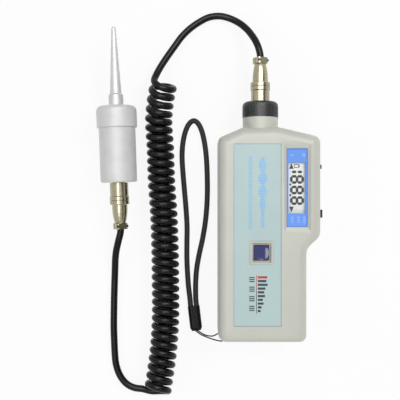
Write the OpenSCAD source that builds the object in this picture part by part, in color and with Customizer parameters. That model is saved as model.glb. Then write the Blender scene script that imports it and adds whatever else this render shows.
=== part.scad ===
// Handheld vibration meter: a case with a display, a probe on a curly cord, and a wrist strap.
// Lengths are millimetres. The meter lies on its back on z = 0, its long axis along Y, display up.

/* [Case] */
// Distance from the neck's axis to the left wall
case_left = 29; // [26:0.5:32]
// Width of the head, which holds the display
head_w = 68.5; // [66:0.5:74]
// Width of the grip below the head
grip_w = 59.2; // [55:0.2:61]
// Length from the bottom wall to the top of the shoulders
case_len = 144; // [138:1:155]
// Distance from the origin to the bottom wall
case_bottom = 69.8; // [66:0.2:72]
// Thickness of the closed case
case_t = 30; // [29:0.5:34]
// Thickness of the shells' walls
wall = 2.2; // [1.8:0.1:2.6]
// Radius of the fillet round the front face
front_edge_r = 6.5; // [5:0.5:7]
// Radius of the fillet round the back face
back_edge_r = 3; // [2:0.5:4]
// Slope of the left shoulder in degrees
left_slope = 23.2; // [15:0.2:30]
// Slope of the right shoulder in degrees
right_slope = 13.2; // [8:0.2:16]
// Length of the head, from the top of the shoulders to the step
head_len = 73.2; // [70:0.2:76]
// Slope of the step between head and grip in degrees
step_slope = 41.6; // [35:0.2:50]

/* [Neck] */
// Diameter of the neck
neck_d = 24; // [22:0.2:24.6]
// Length of the neck beyond the shoulders
neck_len = 7.1; // [6:0.1:12]
// Diameter of the ribbed ring on the neck
ring_d = 24.4; // [23:0.2:27]
// Length of the ribbed ring
ring_len = 11; // [10.6:0.2:15]
// Number of ribs round the ring
ring_ribs = 48; // [36:1:60]

/* [Label and display] */
// Width of the label
label_w = 31.6; // [28:0.2:32]
// Space between the top of the shoulders and the label
label_top_space = 11.5; // [10:0.1:16]
// Space between the bottom wall and the label
label_bottom_space = 11.3; // [10:0.1:16]
// Depth of the label's recess
label_recess = 0.9; // [0.7:0.1:1.2]
// Thickness of the label
label_t = 0.4; // [0.2:0.1:0.6]
// Width of the display window
window_w = 13.8; // [12:0.2:14.2]
// Length of the display window
window_len = 52.2; // [48:0.2:53]
// Depth from the front face to the window
window_depth = 1.5; // [1.2:0.1:1.8]

/* [Button and switches] */
// Width of the square measuring button
button_w = 9.8; // [8:0.2:10.4]
// Travel of the measuring button
button_travel = 1; // [0.5:0.1:1.2]
// Length of the small upper switch knob
small_knob_len = 2.8; // [2:0.2:4]
// Length of the large lower switch knob
large_knob_len = 5.4; // [4:0.2:6]
// Travel of each switch knob
switch_travel = 2.5; // [1.5:0.1:3]

/* [Battery] */
// Width of the battery
battery_w = 26.2; // [24:0.2:26.6]
// Thickness of the battery
battery_t = 17; // [15:0.2:17.4]
// Length of the battery without its studs
battery_len = 46.4; // [44:0.2:47]

/* [Plugs and cord] */
// Diameter of the cord
cord_d = 4.8; // [4.4:0.1:5]
// Diameter of the plug's sliding sleeve
sleeve_d = 12.6; // [12.2:0.1:13]
// Outer diameter of the coil
coil_d = 19.3; // [18.2:0.1:20]

/* [Probe] */
// Diameter of the probe's cap
cap_d = 27.6; // [27:0.2:32]
// Length of the probe's cap
cap_len = 14.7; // [12:0.1:18]
// Diameter of the probe's body
body_d = 25; // [24:0.2:26.4]
// Length of the probe's body
body_len = 37.6; // [34:0.2:42]
// Diameter of the tip's round base
tip_base_d = 10; // [9:0.2:12]
// Length of the tip's round base
tip_base_len = 8.5; // [6:0.1:12]
// Diameter of the cone where it starts
cone_d = 7.9; // [6:0.1:9]
// Length of the cone
cone_len = 45.5; // [20:0.5:60]
// Diameter of the contact point
point_d = 3; // [2:0.1:4]
// Lean of the probe in the picture plane in degrees
probe_lean = 1.8; // [0:0.1:4]

/* [Wrist strap] */
// Diameter of the braided loop
strap_d = 3.7; // [3.2:0.1:3.9]
// Diameter of the thin string
string_d = 0.9; // [0.7:0.1:1.1]
// Width of the ferrule
ferrule_w = 8.4; // [8:0.1:9.4]
// Thickness of the ferrule
ferrule_t = 5; // [4.4:0.1:5]
// Length of the ferrule
ferrule_len = 17.2; // [12:0.2:20]

/* [Hidden] */
$fn = 48;

// Clearances and the overrun of cuts
slip = 0.3;
fit = 0.1;
cut = 1;

// Case, from the driving sizes
mid_z = case_t / 2;
head_top = case_len - case_bottom;
step_y = head_top - head_len;
head_right = head_w - case_left;
grip_right = grip_w - case_left;
left_fall = (case_left - neck_d / 2) * tan(left_slope);
right_fall = (head_right - neck_d / 2) * tan(right_slope);
step_fall = (head_right - grip_right) * tan(step_slope);
bottom_left_r = 5.5;
bottom_right_r = 4.8;
step_r = 9;
right_shoulder_r = 5.4;
left_shoulder_r = 4.2;
neck_corner_r = 3;
least_r = 0.4;
// Corner place, radius and number of arc steps, counter-clockwise from the bottom left
case_corners = [
  [-case_left, -case_bottom, bottom_left_r, 5],
  [grip_right, -case_bottom, bottom_right_r, 5],
  [grip_right, step_y - step_fall, step_r, 4],
  [head_right, step_y, step_r, 4],
  [head_right, head_top - right_fall, right_shoulder_r, 5],
  [neck_d / 2, head_top, neck_corner_r, 1],
  [-neck_d / 2, head_top, neck_corner_r, 1],
  [-case_left, head_top - left_fall, left_shoulder_r, 5]
];
front_steps = 5;
back_steps = 3;
inner_steps = 3;
fillet_over_share = 0.5;
plate_steps = 3;

// Neck, its spigot and the ring on it
neck_top = head_top + neck_len;
spigot_d = 18;
spigot_len = 8.6;
ring_bore_d = sleeve_d + 1;
ring_edge_r = 3;
rib_depth = 0.35;
rib_end = 1.2;

// Front face: label, display and button
label_x = -3.1;
label_len = case_len - label_top_space - label_bottom_space;
label_y = head_top - label_top_space - label_len / 2;
label_r = 0.8;
window_x = 23.4;
window_y = head_top - 40.6;
bevel_left = 1.8;
bevel_right = 2.2;
bevel_top = 2.8;
bevel_bottom = 3.2;
window_t = 1.5;
window_flange = 1;
button_x = -0.4;
button_y = step_y - 10.6;
button_frame_w = 15.2;
button_well_w = 13;
button_well_depth = 1.8;
button_pad_t = 1.4;
button_flange = 1;
button_r = 0.6;
button_dish = 0.5;
button_stand = 0.5;

// Circuit board and what stands on it; it lies just above the battery
board_t = 1.6;
door_t = 2;
battery_z = door_t + 2 * slip;
board_z = battery_z + battery_t + slip;
board_top = board_z + board_t;
board_gap = 2;
left_boss_in = 5.8;
boss_d = 6.4;
board_left = -case_left + left_boss_in + boss_d / 2 + slip;
board_right = head_right - wall - board_gap;
board_bottom = button_y - 3.4;
board_head_top = head_top - 13;
lcd_w = 14.2;
lcd_len = 38;
lcd_t = 2.8;
lcd_gap = 0.4;
holder_wall = 0.9;
strip_w = 1.6;
plunger_d = 3.4;
tact_w = 6;
tact_h = 3.2;
tact_floor = 0.6;
chip_h = 1.4;
chip_pitch = 2.54;
// Place, width and length of each chip, in pitches from the board's corner
chips = [
  [5.5, 18.5, 5, 7], [11, 14, 3.5, 3.5], [4.5, 10.5, 3, 2], [9.5, 22.5, 2.5, 4], [1.5, 13.5, 2, 2],
  [12.5, 8.5, 3, 2]
];

// Slide switches in the right wall
small_knob_y = head_top - 26.1;
large_knob_y = head_top - 58.1;
knob_t = 2.4;
small_knob_proud = 2.2;
large_knob_proud = 2.8;
switch_depth = 5.2;
switch_lid = 0.8;
switch_h = board_z - mid_z + knob_t / 2 + slip + switch_lid;
switch_flange = 1.5;

// Battery bay and its door
door_w = 31;
door_tongue = 1.2;
lip_t = 1.1;
bay_wall = 1.2;
rim_t = 1.2;
battery_end = wall + 2.4;
battery_r = 2;
stud_h = 2;
stud_small_d = 6;
stud_large_d = 8.4;
stud_share = 0.24;
snap_w = 21.8;
snap_h = 12.6;
snap_t = 3.2;
lead_d = 1.4;
lead_x = 4.4;
lead_out = 2.2;
lead_bend_y = 4.8;
lead_bend_z = 1.3;
lead_rise_y = 6.2;
lead_rise_z = 3;

// Case screws: their places, inwards from the walls and the shoulders' corners
bottom_left_up = 11.5;
bottom_right_in = 6.5;
bottom_right_up = 6.7;
top_left_down = 8.5;
top_right_in = 6.2;
top_right_down = 2.6;
case_screw_places = [
  [-case_left + left_boss_in, -case_bottom + bottom_left_up],
  [grip_right - bottom_right_in, -case_bottom + bottom_right_up],
  [-case_left + left_boss_in, head_top - left_fall - top_left_down],
  [head_right - top_right_in, head_top - right_fall - top_right_down]
];
case_screw_d = 2.9;
case_screw_head_d = 5.4;
case_screw_head_h = 2;
case_screw_len = 20;
counterbore_z = 3.6;
board_screw_places = [[-12, head_top - 22.2], [8, head_top - 18.2], [-14, step_y + 1]];
board_screw_d = 2;
board_screw_head_d = 3.8;
board_screw_head_h = 1.4;
board_screw_len = 6;
board_boss_d = 5;

// Strap anchor: a solid corner with a bent tunnel
anchor_w = 7.4;
anchor_bottom = 8;
tunnel_d = 2.4;
tunnel_z = 12;
tunnel_in = 4.1;
tunnel_up = 3.4;

// Socket and plug, along one axis that points to the cable; zero is the sleeve's front
plug_y = neck_top + spigot_len + 0.8;
jack_top = -0.8;
meter_jack_bottom = -22.5;
probe_jack_bottom = -16.5;
jack_d = 12;
jack_bore_d = 9.4;
jack_flange_d = 15.6;
jack_flange_t = 1.6;
jack_floor = -12;
jack_rear_bore_d = 7;
nut_d = 15;
nut_t = 2.2;
pin_d = 1;
pin_count = 3;
pin_r = 2.2;
pin_top = -3;
pin_tail = 1.5;
insulator_top = -11.4;
insulator_bottom = -16;
nose_d = 9;
nose_bore_d = 7.6;
nose_len = 9.5;
nose_insert = -8.3;
plug_core_d = 10.6;
// Place and diameter of the shell where it narrows to the cable
shell_bulge = [[18, 10.5], [20.6, 10.2], [23, 9.6], [25.6, 8.7], [27, 7.9]];
sleeve_len = 9;
bead_len = 6;
bead_d = sleeve_d + 0.8;
bead_groove = 0.5;
bead_nick = 0.25;
shell_len = 27.8;
shell_end_d = 7.4;
shell_bore_d = 6.6;
jacket_stop_d = cord_d - 0.6;
clamp_len = 4;
clamp_w = 8.5;
clamp_turn = 28;
clamp_round_d = 10.2;
clamp_split = 0.6;
clamp_screw_d = 1.2;
clamp_screw_head_d = 1.7;
clamp_screw_head_h = 0.6;
clamp_screw_x = 3.45;
clamp_screw_len = 6.6;
clamp_pocket_h = 2.2;
clamp_bore_d = cord_d + 0.2;

// Probe: it rests on the cap's lower rim and the body's end
probe_x = -98.1;
probe_y = 75.1;
probe_tilt = atan((cap_d - body_d) / 2 / body_len);
probe_z = cap_d / 2 * cos(probe_tilt);
cap_edge_r = 3.6;
body_wall = 2.4;
body_edge_r = 1.4;
body_bore_d = body_d - 2 * body_wall;
cap_spigot = 4;
tip_stud_d = 5;
tip_stud_len = 6;
tip_edge = 1.1;
end_plate_t = 3;
end_screw_r = 8.9;
end_screw_d = 1.1;
end_screw_head_d = 1.7;
end_screw_head_h = 0.7;
end_screw_count = 3;
base_t = 2.5;
base_d = 17;
piezo_d = 12;
piezo_t = 1;
piezo_film = 0.05;
mass_d = 14;
sensor_room = 30;
mass_len = body_len - sensor_room;
bolt_d = 4;
bolt_head_d = 7;
bolt_head_h = 2.6;
bolt_reach = 2.5;

// Curly cord: its axis has one point every four turns, chosen by hand
coil_axis = [
  [-55.6, 132.4], [-65.3, 109.2], [-69.6, 84.2], [-68.6, 60.6], [-67.8, 37.8], [-66.2, 14.8],
  [-65.4, -8.2], [-65.1, -31.1], [-65, -53.9], [-66.3, -76.6], [-69.5, -100.2], [-73.5, -125.3]
];
coil_step = 4;
coil_turns = 36;
coil_r = (coil_d - cord_d) / 2;
coil_enter = 210;
coil_ramp = 0.6;
coil_lean = 16;
coil_lean_turns = 6;
coil_slant = 22;
coil_rings = 8;
coil_sides = 6;
coil_end = coil_turns + (coil_enter + 180 * coil_ramp + 90) / 360;

// Routes of the free stretches, chosen by hand
arch_route = [
  [0, 118.5, 15], [0, 124.3, 15], [-1.1, 129.4, 14.4], [-2.8, 134.2, 12.8], [-5.3, 139.1, 10.2],
  [-8.6, 144, 7.4], [-13.2, 148.6, 4.9], [-19.8, 152.5, 3.2], [-27.3, 154.5, 2.5],
  [-35, 153.6, 2.5], [-42.2, 150, 2.5], [-48.7, 145.3, 2.5], [-54.1, 139.9, 2.6],
  [-58.6, 134.3, 3.3], [-62.2, 129, 4.6]
];
tail_route = [
  [-81.6, -107.2, 2.5], [-87.2, -106.4, 2.5], [-92.2, -104, 2.5], [-95.9, -100.1, 2.5],
  [-98.6, -95.1, 2.5], [-100.3, -89, 2.5], [-101, -82, 2.5], [-101.4, -73, 2.5],
  [-101.7, -63, 2.5], [-101.6, -52, 2.5], [-101.4, -41, 2.5], [-101.1, -31, 2.6],
  [-100.7, -23, 3.8], [-100.2, -15.5, 6], [-99.2, -9.4, 8.4], [-97.5, -2.8, 10.4], [-95.9, 4, 11.3]
];
strap_route = [
  [-48.3, -43.4, 1.9], [-49.2, -36, 1.9], [-49.9, -27, 1.9], [-50.4, -16, 1.9], [-50.4, -5, 1.9],
  [-50.3, 7, 1.9], [-51, 19, 1.9], [-52.1, 32, 1.9], [-53.2, 45, 1.9], [-53.8, 56, 1.9],
  [-53.2, 65.4, 1.9], [-51.5, 73.3, 1.9], [-48.9, 78.8, 1.9], [-45.6, 81.1, 1.9], [-42.4, 79, 1.9],
  [-39.9, 73.7, 1.9], [-38, 65.6, 1.9], [-36.8, 56, 1.9], [-36.2, 45, 1.9], [-36, 33, 1.9],
  [-36.4, 21, 1.9], [-37.5, 9.5, 1.9], [-39.4, -2, 1.9], [-41.6, -12, 1.9], [-43.4, -22, 1.9],
  [-44.2, -32, 1.9], [-44.2, -43.2, 1.9]
];
string_route = [
  [-40.9, -67.6, 2.3], [-38, -69, 3.4], [-35, -69.4, 5.6], [-32.2, -68.8, 8.8],
  [-30.2, -67.4, 11.2], [-28.5, -66.4, 12], [-26.3, -66.4, 12], [-25.2, -67, 12],
  [-24.9, -68.6, 12], [-25, -70.7, 11.8], [-26.3, -71.8, 11.3], [-28.5, -71.8, 10],
  [-31.1, -71.6, 7.9], [-34.2, -71.2, 5], [-37.4, -70.4, 2.8], [-40.5, -69.2, 1.9]
];
ferrule_top = [-45.7, -49];
ferrule_turn = 6.7;
strand_gap = strap_d / 2 + 0.2;
string_gap = 0.7;
ferrule_round = 2;
tube_sides = 8;
fine_sides = 10;

// Places on the case's corners: inset outlines of constant point count
function unit(v) = v / norm(v);
function left_of(v) = [-v[1], v[0]];
function corner(i) = let (c = case_corners[(i + len(case_corners)) % len(case_corners)]) [c[0], c[1]];
function inset_corner(i, d) =
  let (a = left_of(unit(corner(i) - corner(i - 1))), b = left_of(unit(corner(i + 1) - corner(i))))
  corner(i) + d * (a + b) / (1 + a * b);
function corner_arc(i, d) =
  let (
    p = inset_corner(i, d), e = unit(p - inset_corner(i - 1, d)),
    f = unit(inset_corner(i + 1, d) - p), turn = atan2(cross(e, f), e * f), s = sign(turn),
    r = max(case_corners[i][2] - s * d, least_r), steps = case_corners[i][3],
    start = p - e * r * tan(abs(turn) / 2), centre = start + s * r * left_of(e), v = start - centre
  )
  [for (k = [0 : steps]) let (a = turn * k / steps)
    centre + [v[0] * cos(a) - v[1] * sin(a), v[0] * sin(a) + v[1] * cos(a)]];
function outline(d) = [for (i = [0 : len(case_corners) - 1]) each corner_arc(i, d)];
function layer(d, z) = [for (p = outline(d)) [p[0], p[1], z]];

// A closed solid through rings of points, each ring counter-clockwise seen from the next one
module loft(rings) {
  n = len(rings[0]);
  last = (len(rings) - 1) * n;
  polyhedron(
    points = [for (ring = rings) each ring],
    faces = concat(
      [[for (i = [0 : n - 1]) i]],
      [for (k = [0 : len(rings) - 2], i = [0 : n - 1]) let (a = k * n + i, b = k * n + (i + 1) % n)
        each [[a, a + n, b + n], [a, b + n, b]]],
      [[for (i = [n - 1 : -1 : 0]) last + i]]
    )
  );
}

// A tube along points; its end rings are square to the two end directions
function direction(path, i, first, last) =
  i == 0 ? unit(first) : i == len(path) - 1 ? unit(last) : unit(unit(path[i] - path[i - 1])
    + unit(path[i + 1] - path[i]));
function ring_at(p, t, up, r, sides) =
  let (side = unit(cross(t, up)), top = cross(side, t))
  [for (k = [0 : sides - 1]) let (a = -360 * k / sides) p + r * (side * cos(a) + top * sin(a))];
function tube_rings(path, r, sides, first, last) =
  [for (i = [0 : len(path) - 1]) ring_at(path[i], direction(path, i, first, last), [0, 0, 1], r, sides)];
module tube(path, d, sides, first, last) {
  loft(tube_rings(path, d / 2, sides, first, last));
}

// Rounded plate, centred, standing on z = 0
function plate_points(w, l, r, steps) =
  [for (q = [0 : 3], k = [0 : steps]) let (
    a = 90 * q + 90 * k / steps, sx = (q == 0 || q == 3) ? 1 : -1, sy = q < 2 ? 1 : -1
  ) [sx * (w / 2 - r) + r * cos(a), sy * (l / 2 - r) + r * sin(a)]];
module plate(w, l, t, r) {
  linear_extrude(height = t) polygon(plate_points(w, l, r, plate_steps));
}
module block(size) {
  translate([-size[0] / 2, -size[1] / 2, 0]) cube(size);
}
module pipe(od, id, z0, z1) {
  translate([0, 0, z0]) difference() {
    cylinder(d = od, h = z1 - z0);
    translate([0, 0, -cut]) cylinder(d = id, h = z1 - z0 + 2 * cut);
  }
}
module rod(d, z0, z1) {
  translate([0, 0, z0]) cylinder(d = d, h = z1 - z0);
}

// Case bodies: the fillet's last ring runs on past the flat face, and slab() cuts it there
function fillet_layers(inset, r, steps, z, way) = [for (k = [0 : steps]) let (
    a = 90 * k / steps, b = 90 * (steps - 1) / steps, over = k == steps ? fillet_over_share : 0,
    d = r * (1 - cos(a)) + over * r * (cos(b) - cos(a)), h = r * sin(a) + over * r * (sin(a) - sin(b))
  ) layer(inset + d, z + way * (h - r))];
function front_outer() = concat(
  [layer(0, mid_z - cut)], fillet_layers(0, front_edge_r, front_steps, case_t, 1));
function front_inner() = concat(
  [layer(wall, mid_z - cut)], fillet_layers(wall, front_edge_r - wall, inner_steps, case_t - wall, 1));
function rear_outer() = let (rings = fillet_layers(0, back_edge_r, back_steps, 0, -1)) concat(
  [for (k = [back_steps : -1 : 0]) rings[k]], [layer(0, mid_z + cut)]);

module slab(z0, z1) {
  translate([-case_left - cut, -case_bottom - cut, z0])
    cube([head_w + 2 * cut, case_len + neck_len + spigot_len + 2 * cut, z1 - z0]);
}
module front_block() {
  intersection() {
    loft(front_outer());
    slab(mid_z, case_t);
  }
}
module front_hollow() {
  intersection() {
    loft(front_inner());
    slab(mid_z - cut, case_t - wall);
  }
}
module rear_block() {
  intersection() {
    loft(rear_outer());
    slab(0, mid_z);
  }
}
module rear_hollow() {
  translate([0, 0, wall]) linear_extrude(height = mid_z) polygon(outline(wall));
}

module along_neck(y) {
  translate([0, y, mid_z]) rotate([-90, 0, 0]) children();
}
module half(front) {
  intersection() {
    children();
    slab(front ? mid_z : 0, front ? case_t : mid_z);
  }
}
module neck_solid(front) {
  half(front) union() {
    along_neck(head_top - wall / 2) cylinder(d = neck_d, h = neck_len + wall / 2);
    along_neck(neck_top - cut) cylinder(d = spigot_d, h = spigot_len + cut);
  }
}
module neck_bore() {
  along_neck(head_top - wall - cut) cylinder(d = jack_d + fit, h = neck_len + wall + spigot_len + 2 * cut);
  along_neck(plug_y + jack_top - jack_flange_t)
    cylinder(d = jack_flange_d + fit, h = spigot_len);
}

// Switch slots through the right wall, at the parting line
module switch_slot(y, knob_len) {
  translate([head_right - wall - cut, y - knob_len / 2 - switch_travel / 2 - slip, mid_z - knob_t / 2 - slip])
    cube([wall + 2 * cut, knob_len + switch_travel + 2 * slip, knob_t + 2 * slip]);
}

module bevel_cut() {
  x0 = window_x - window_w / 2;
  x1 = window_x + window_w / 2;
  y0 = window_y - window_len / 2;
  y1 = window_y + window_len / 2;
  function rim(s, z) = [
    [x0 - s * bevel_left, y0 - s * bevel_bottom, z], [x1 + s * bevel_right, y0 - s * bevel_bottom, z],
    [x1 + s * bevel_right, y1 + s * bevel_top, z], [x0 - s * bevel_left, y1 + s * bevel_top, z]
  ];
  least_share = 0.12;
  loft([rim(least_share, case_t - window_depth), rim(1, case_t), rim(1, case_t + cut)]);
}

module front_case() {
  color([0.77, 0.77, 0.74]) difference() {
    union() {
      difference() {
        union() {
          front_block();
          neck_solid(true);
        }
        front_hollow();
      }
      translate([button_x, button_y, case_t - wall - button_pad_t])
        block([button_frame_w, button_frame_w, button_pad_t + fit]);
      for (p = case_screw_places) translate([p[0], p[1], mid_z])
        cylinder(d = boss_d, h = mid_z - wall + fit);
      for (p = board_screw_places) translate([p[0], p[1], board_top])
        cylinder(d = board_boss_d, h = case_t - wall - board_top + fit);
    }
    neck_bore();
    translate([label_x, label_y, case_t - label_recess]) difference() {
      plate(label_w, label_len, label_recess + cut, label_r);
      translate([button_x - label_x, button_y - label_y, -cut])
        block([button_frame_w, button_frame_w, label_recess + 3 * cut]);
    }
    bevel_cut();
    translate([window_x, window_y, case_t - wall - cut])
      block([window_w + 2 * fit, window_len + 2 * fit, wall + 2 * cut]);
    translate([button_x, button_y, case_t - button_well_depth])
      block([button_well_w, button_well_w, button_well_depth + cut]);
    translate([button_x, button_y, case_t - wall - button_pad_t - cut])
      block([button_w + 2 * slip, button_w + 2 * slip, wall + button_pad_t]);
    for (p = case_screw_places) translate([p[0], p[1], mid_z - cut])
      cylinder(d = case_screw_d, h = counterbore_z + case_screw_len - mid_z + 2 * cut);
    for (p = board_screw_places) translate([p[0], p[1], board_top - cut])
      cylinder(d = board_screw_d, h = board_screw_len - board_t + 2 * cut);
    switch_slot(small_knob_y, small_knob_len);
    switch_slot(large_knob_y, large_knob_len);
  }
}

// Battery bay, from the rear
door_half = door_w / 2;
bay_half = battery_w / 2 + slip;
bay_bottom = -case_bottom + battery_end - slip;
battery_y0 = -case_bottom + battery_end;
battery_y1 = battery_y0 + battery_len;
snap_y1 = battery_y1 + stud_h + snap_t;
door_top_y = snap_y1 + slip + lip_t;
door_tongue_z = lip_t + fit;

module door_prism(grow, play) {
  translate([-door_half - grow, -case_bottom - cut, -cut])
    cube([door_w + 2 * grow, door_top_y + case_bottom + cut + grow, door_t + cut + grow]);
  translate([-door_half - door_tongue - grow, -case_bottom - cut, door_tongue_z - play])
    cube([door_w + 2 * door_tongue + 2 * grow, door_top_y + case_bottom + cut + grow,
      door_t - door_tongue_z + grow + play]);
}

module strap_tunnel() {
  translate([-case_left - cut, -case_bottom + tunnel_up, tunnel_z]) rotate([0, 90, 0])
    cylinder(d = tunnel_d, h = tunnel_in + cut);
  translate([-case_left + tunnel_in, -case_bottom - cut, tunnel_z]) rotate([-90, 0, 0])
    cylinder(d = tunnel_d, h = tunnel_up + cut);
  translate([-case_left + tunnel_in, -case_bottom + tunnel_up, tunnel_z]) sphere(d = tunnel_d);
}

module rear_case() {
  rim_half = door_half + door_tongue + slip + bay_wall;
  color([0.74, 0.74, 0.7]) difference() {
    union() {
      difference() {
        union() {
          rear_block();
          neck_solid(false);
        }
        rear_hollow();
      }
      intersection() {
        rear_block();
        union() {
          translate([-rim_half, -case_bottom, wall - fit])
            cube([2 * rim_half, door_top_y + case_bottom + 2 * bay_wall, door_t + slip + rim_t - wall + fit]);
          for (s = [-1, 1]) translate([s * (bay_half + bay_wall / 2) - bay_wall / 2, battery_y0, wall - fit])
            cube([bay_wall, battery_len - cut, mid_z - 2 * wall]);
          translate([-case_left, -case_bottom, anchor_bottom])
            cube([anchor_w, anchor_w, mid_z - anchor_bottom]);
          for (p = case_screw_places) translate([p[0], p[1], fit])
            cylinder(d = boss_d, h = mid_z - fit);
        }
      }
    }
    neck_bore();
    door_prism(slip, fit);
    translate([-bay_half, bay_bottom, -cut])
      cube([2 * bay_half, snap_y1 - bay_bottom + slip, wall + door_t + rim_t]);
    strap_tunnel();
    for (p = case_screw_places) translate([p[0], p[1], 0]) {
      translate([0, 0, -cut]) cylinder(d = case_screw_head_d + 2 * slip, h = counterbore_z + cut);
      cylinder(d = case_screw_d + 2 * fit, h = mid_z + cut);
    }
    switch_slot(small_knob_y, small_knob_len);
    switch_slot(large_knob_y, large_knob_len);
  }
}

module battery_door() {
  grip_ribs = 6;
  grip_start = 6.6;
  grip_share = 0.5;
  grip_pitch = 2;
  grip_depth = 0.5;
  color([0.72, 0.72, 0.68]) difference() {
    intersection() {
      rear_block();
      door_prism(0, 0);
    }
    for (k = [0 : grip_ribs - 1])
      translate([0, -case_bottom + grip_start + k * grip_pitch, -cut])
        block([door_w * grip_share, grip_pitch / 2, cut + grip_depth]);
  }
}

module along_bay(y) {
  translate([0, y, battery_z + battery_t / 2]) rotate([-90, 0, 0]) children();
}
module battery_9v() {
  color([0.2, 0.2, 0.22]) along_bay(battery_y0) plate(battery_w, battery_t, battery_len, battery_r);
  color("silver") for (s = [-1, 1]) along_bay(battery_y1) translate([s * battery_w * stud_share, 0, 0])
    cylinder(d = s > 0 ? stud_small_d : stud_large_d, h = stud_h);
}

module battery_snap() {
  color([0.1, 0.1, 0.1]) along_bay(battery_y1 + stud_h) plate(snap_w, snap_h, snap_t, battery_r);
}

module battery_leads() {
  y = snap_y1;
  z = battery_z + battery_t / 2;
  for (s = [-1, 1]) color(s > 0 ? [0.7, 0.1, 0.1] : [0.1, 0.1, 0.1])
    tube([
      [s * lead_x, y, z], [s * lead_x, y + lead_out, z],
      [s * lead_x, y + lead_bend_y, z + lead_bend_z], [s * lead_x, y + lead_rise_y, board_z - lead_rise_z],
      [s * lead_x, y + lead_rise_y, board_z - fit]
    ], lead_d, tube_sides, [0, 1, 0], [0, fit, 1]);
}

module circuit_board() {
  color([0.1, 0.35, 0.2]) difference() {
    translate([board_left, board_bottom, board_z])
      cube([board_right - board_left, board_head_top - board_bottom, board_t]);
    translate([grip_right - wall - board_gap, board_bottom - cut, board_z - cut])
      cube([board_right, step_y - board_bottom + cut, board_t + 2 * cut]);
    for (p = board_screw_places) translate([p[0], p[1], board_z - cut])
      cylinder(d = board_screw_d + 2 * fit, h = board_t + 2 * cut);
  }
}

module board_chips() {
  color([0.12, 0.12, 0.13]) for (c = chip_pitch * chips)
    translate([board_left + c[0], board_bottom + c[1], board_z - chip_h]) block([c[2], c[3], chip_h]);
}

module board_screws() {
  color("silver") for (p = board_screw_places) translate([p[0], p[1], board_z]) {
    translate([0, 0, -board_screw_head_h]) cylinder(d = board_screw_head_d, h = board_screw_head_h);
    cylinder(d = board_screw_d, h = board_screw_len);
  }
}

lcd_top = case_t - window_depth - window_t - lcd_gap;
module lcd_glass() {
  color([0.83, 0.86, 0.85]) translate([window_x, window_y, lcd_top - lcd_t])
    block([lcd_w, lcd_len, lcd_t]);
}

module lcd_holder() {
  color([0.85, 0.85, 0.82]) translate([window_x, window_y, board_top]) difference() {
    block([lcd_w + 2 * holder_wall + 2 * fit, lcd_len + 2 * holder_wall + 2 * fit, lcd_top - board_top]);
    translate([0, 0, lcd_top - lcd_t - board_top])
      block([lcd_w + 2 * fit, lcd_len + 2 * fit, lcd_t + cut]);
    translate([0, 0, -cut])
      block([lcd_w - 2 * holder_wall, lcd_len - 2 * holder_wall, lcd_top - board_top + 2 * cut]);
  }
}

module lcd_contact_strips() {
  color([0.85, 0.5, 0.6]) for (s = [-1, 1])
    translate([window_x + s * (lcd_w / 2 - holder_wall - strip_w / 2), window_y, board_top])
      block([strip_w, lcd_len - 3 * holder_wall, lcd_top - lcd_t - board_top]);
}

module display_window() {
  z = case_t - window_depth - window_t;
  color([0.5, 0.66, 0.95]) translate([window_x, window_y, 0]) {
    translate([0, 0, z]) block([window_w, window_len, window_t]);
    translate([0, 0, z])
      block([window_w + 2 * window_flange, window_len + 2 * window_flange, case_t - wall - z]);
  }
}

module label_panel() {
  color([0.73, 0.82, 0.81]) translate([label_x, label_y, case_t - label_recess]) difference() {
    plate(label_w - 2 * fit, label_len - 2 * fit, label_t, label_r);
    translate([button_x - label_x, button_y - label_y, -cut])
      block([button_frame_w + 2 * fit, button_frame_w + 2 * fit, label_t + 2 * cut]);
  }
}

button_floor = case_t - wall - button_pad_t - slip - button_flange;
button_top = case_t - button_stand;
module button_cap() {
  flange_w = button_w + 2 * button_flange + 2 * slip;
  dish_r = button_w * button_w / (8 * button_dish) + button_dish / 2;
  color([0.12, 0.16, 0.38]) translate([button_x, button_y, button_floor]) difference() {
    union() {
      block([flange_w, flange_w, button_flange]);
      plate(button_w, button_w, button_top - button_floor, button_r);
    }
    translate([0, 0, button_top - button_floor - button_dish + dish_r]) sphere(r = dish_r, $fn = 96);
  }
}

module button_plunger() {
  color("ivory") translate([button_x, button_y, board_top + tact_floor + button_travel + slip])
    cylinder(d = plunger_d, h = button_floor - board_top - tact_floor - button_travel - slip);
}

module button_switch() {
  color([0.15, 0.15, 0.16]) translate([button_x, button_y, board_top]) difference() {
    block([tact_w, tact_w, min(tact_h, button_floor - board_top - button_travel - slip)]);
    translate([0, 0, tact_floor]) cylinder(d = plunger_d + 2 * slip, h = tact_h + cut);
  }
}

// A slide switch: its body under the board's edge, its knob through the wall
module switch_body(y, knob_len) {
  len = knob_len + switch_travel + 2 * switch_flange + 2 * slip + 2 * wall;
  x = head_right - wall - slip - switch_depth;
  color([0.3, 0.3, 0.32]) translate([x, y - len / 2, board_z - switch_h]) difference() {
    cube([switch_depth, len, switch_h]);
    translate([switch_lid, switch_lid, switch_lid])
      cube([switch_depth, len - 2 * switch_lid, knob_t + 2 * slip]);
  }
}
module switch_knob(y, knob_len, proud) {
  x = head_right - wall - slip - switch_depth + switch_lid + slip;
  color([0.08, 0.08, 0.09]) translate([x, y, mid_z - knob_t / 2]) {
    translate([0, -knob_len / 2, 0]) cube([head_right + proud - x, knob_len, knob_t]);
    translate([0, -knob_len / 2 - switch_flange, 0])
      cube([head_right - wall - slip - x, knob_len + 2 * switch_flange, knob_t]);
  }
}
module range_switch_knob() {
  switch_knob(small_knob_y, small_knob_len, small_knob_proud);
}
module range_switch_body() {
  switch_body(small_knob_y, small_knob_len);
}
module function_switch_knob() {
  switch_knob(large_knob_y, large_knob_len, large_knob_proud);
}
module function_switch_body() {
  switch_body(large_knob_y, large_knob_len);
}

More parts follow.
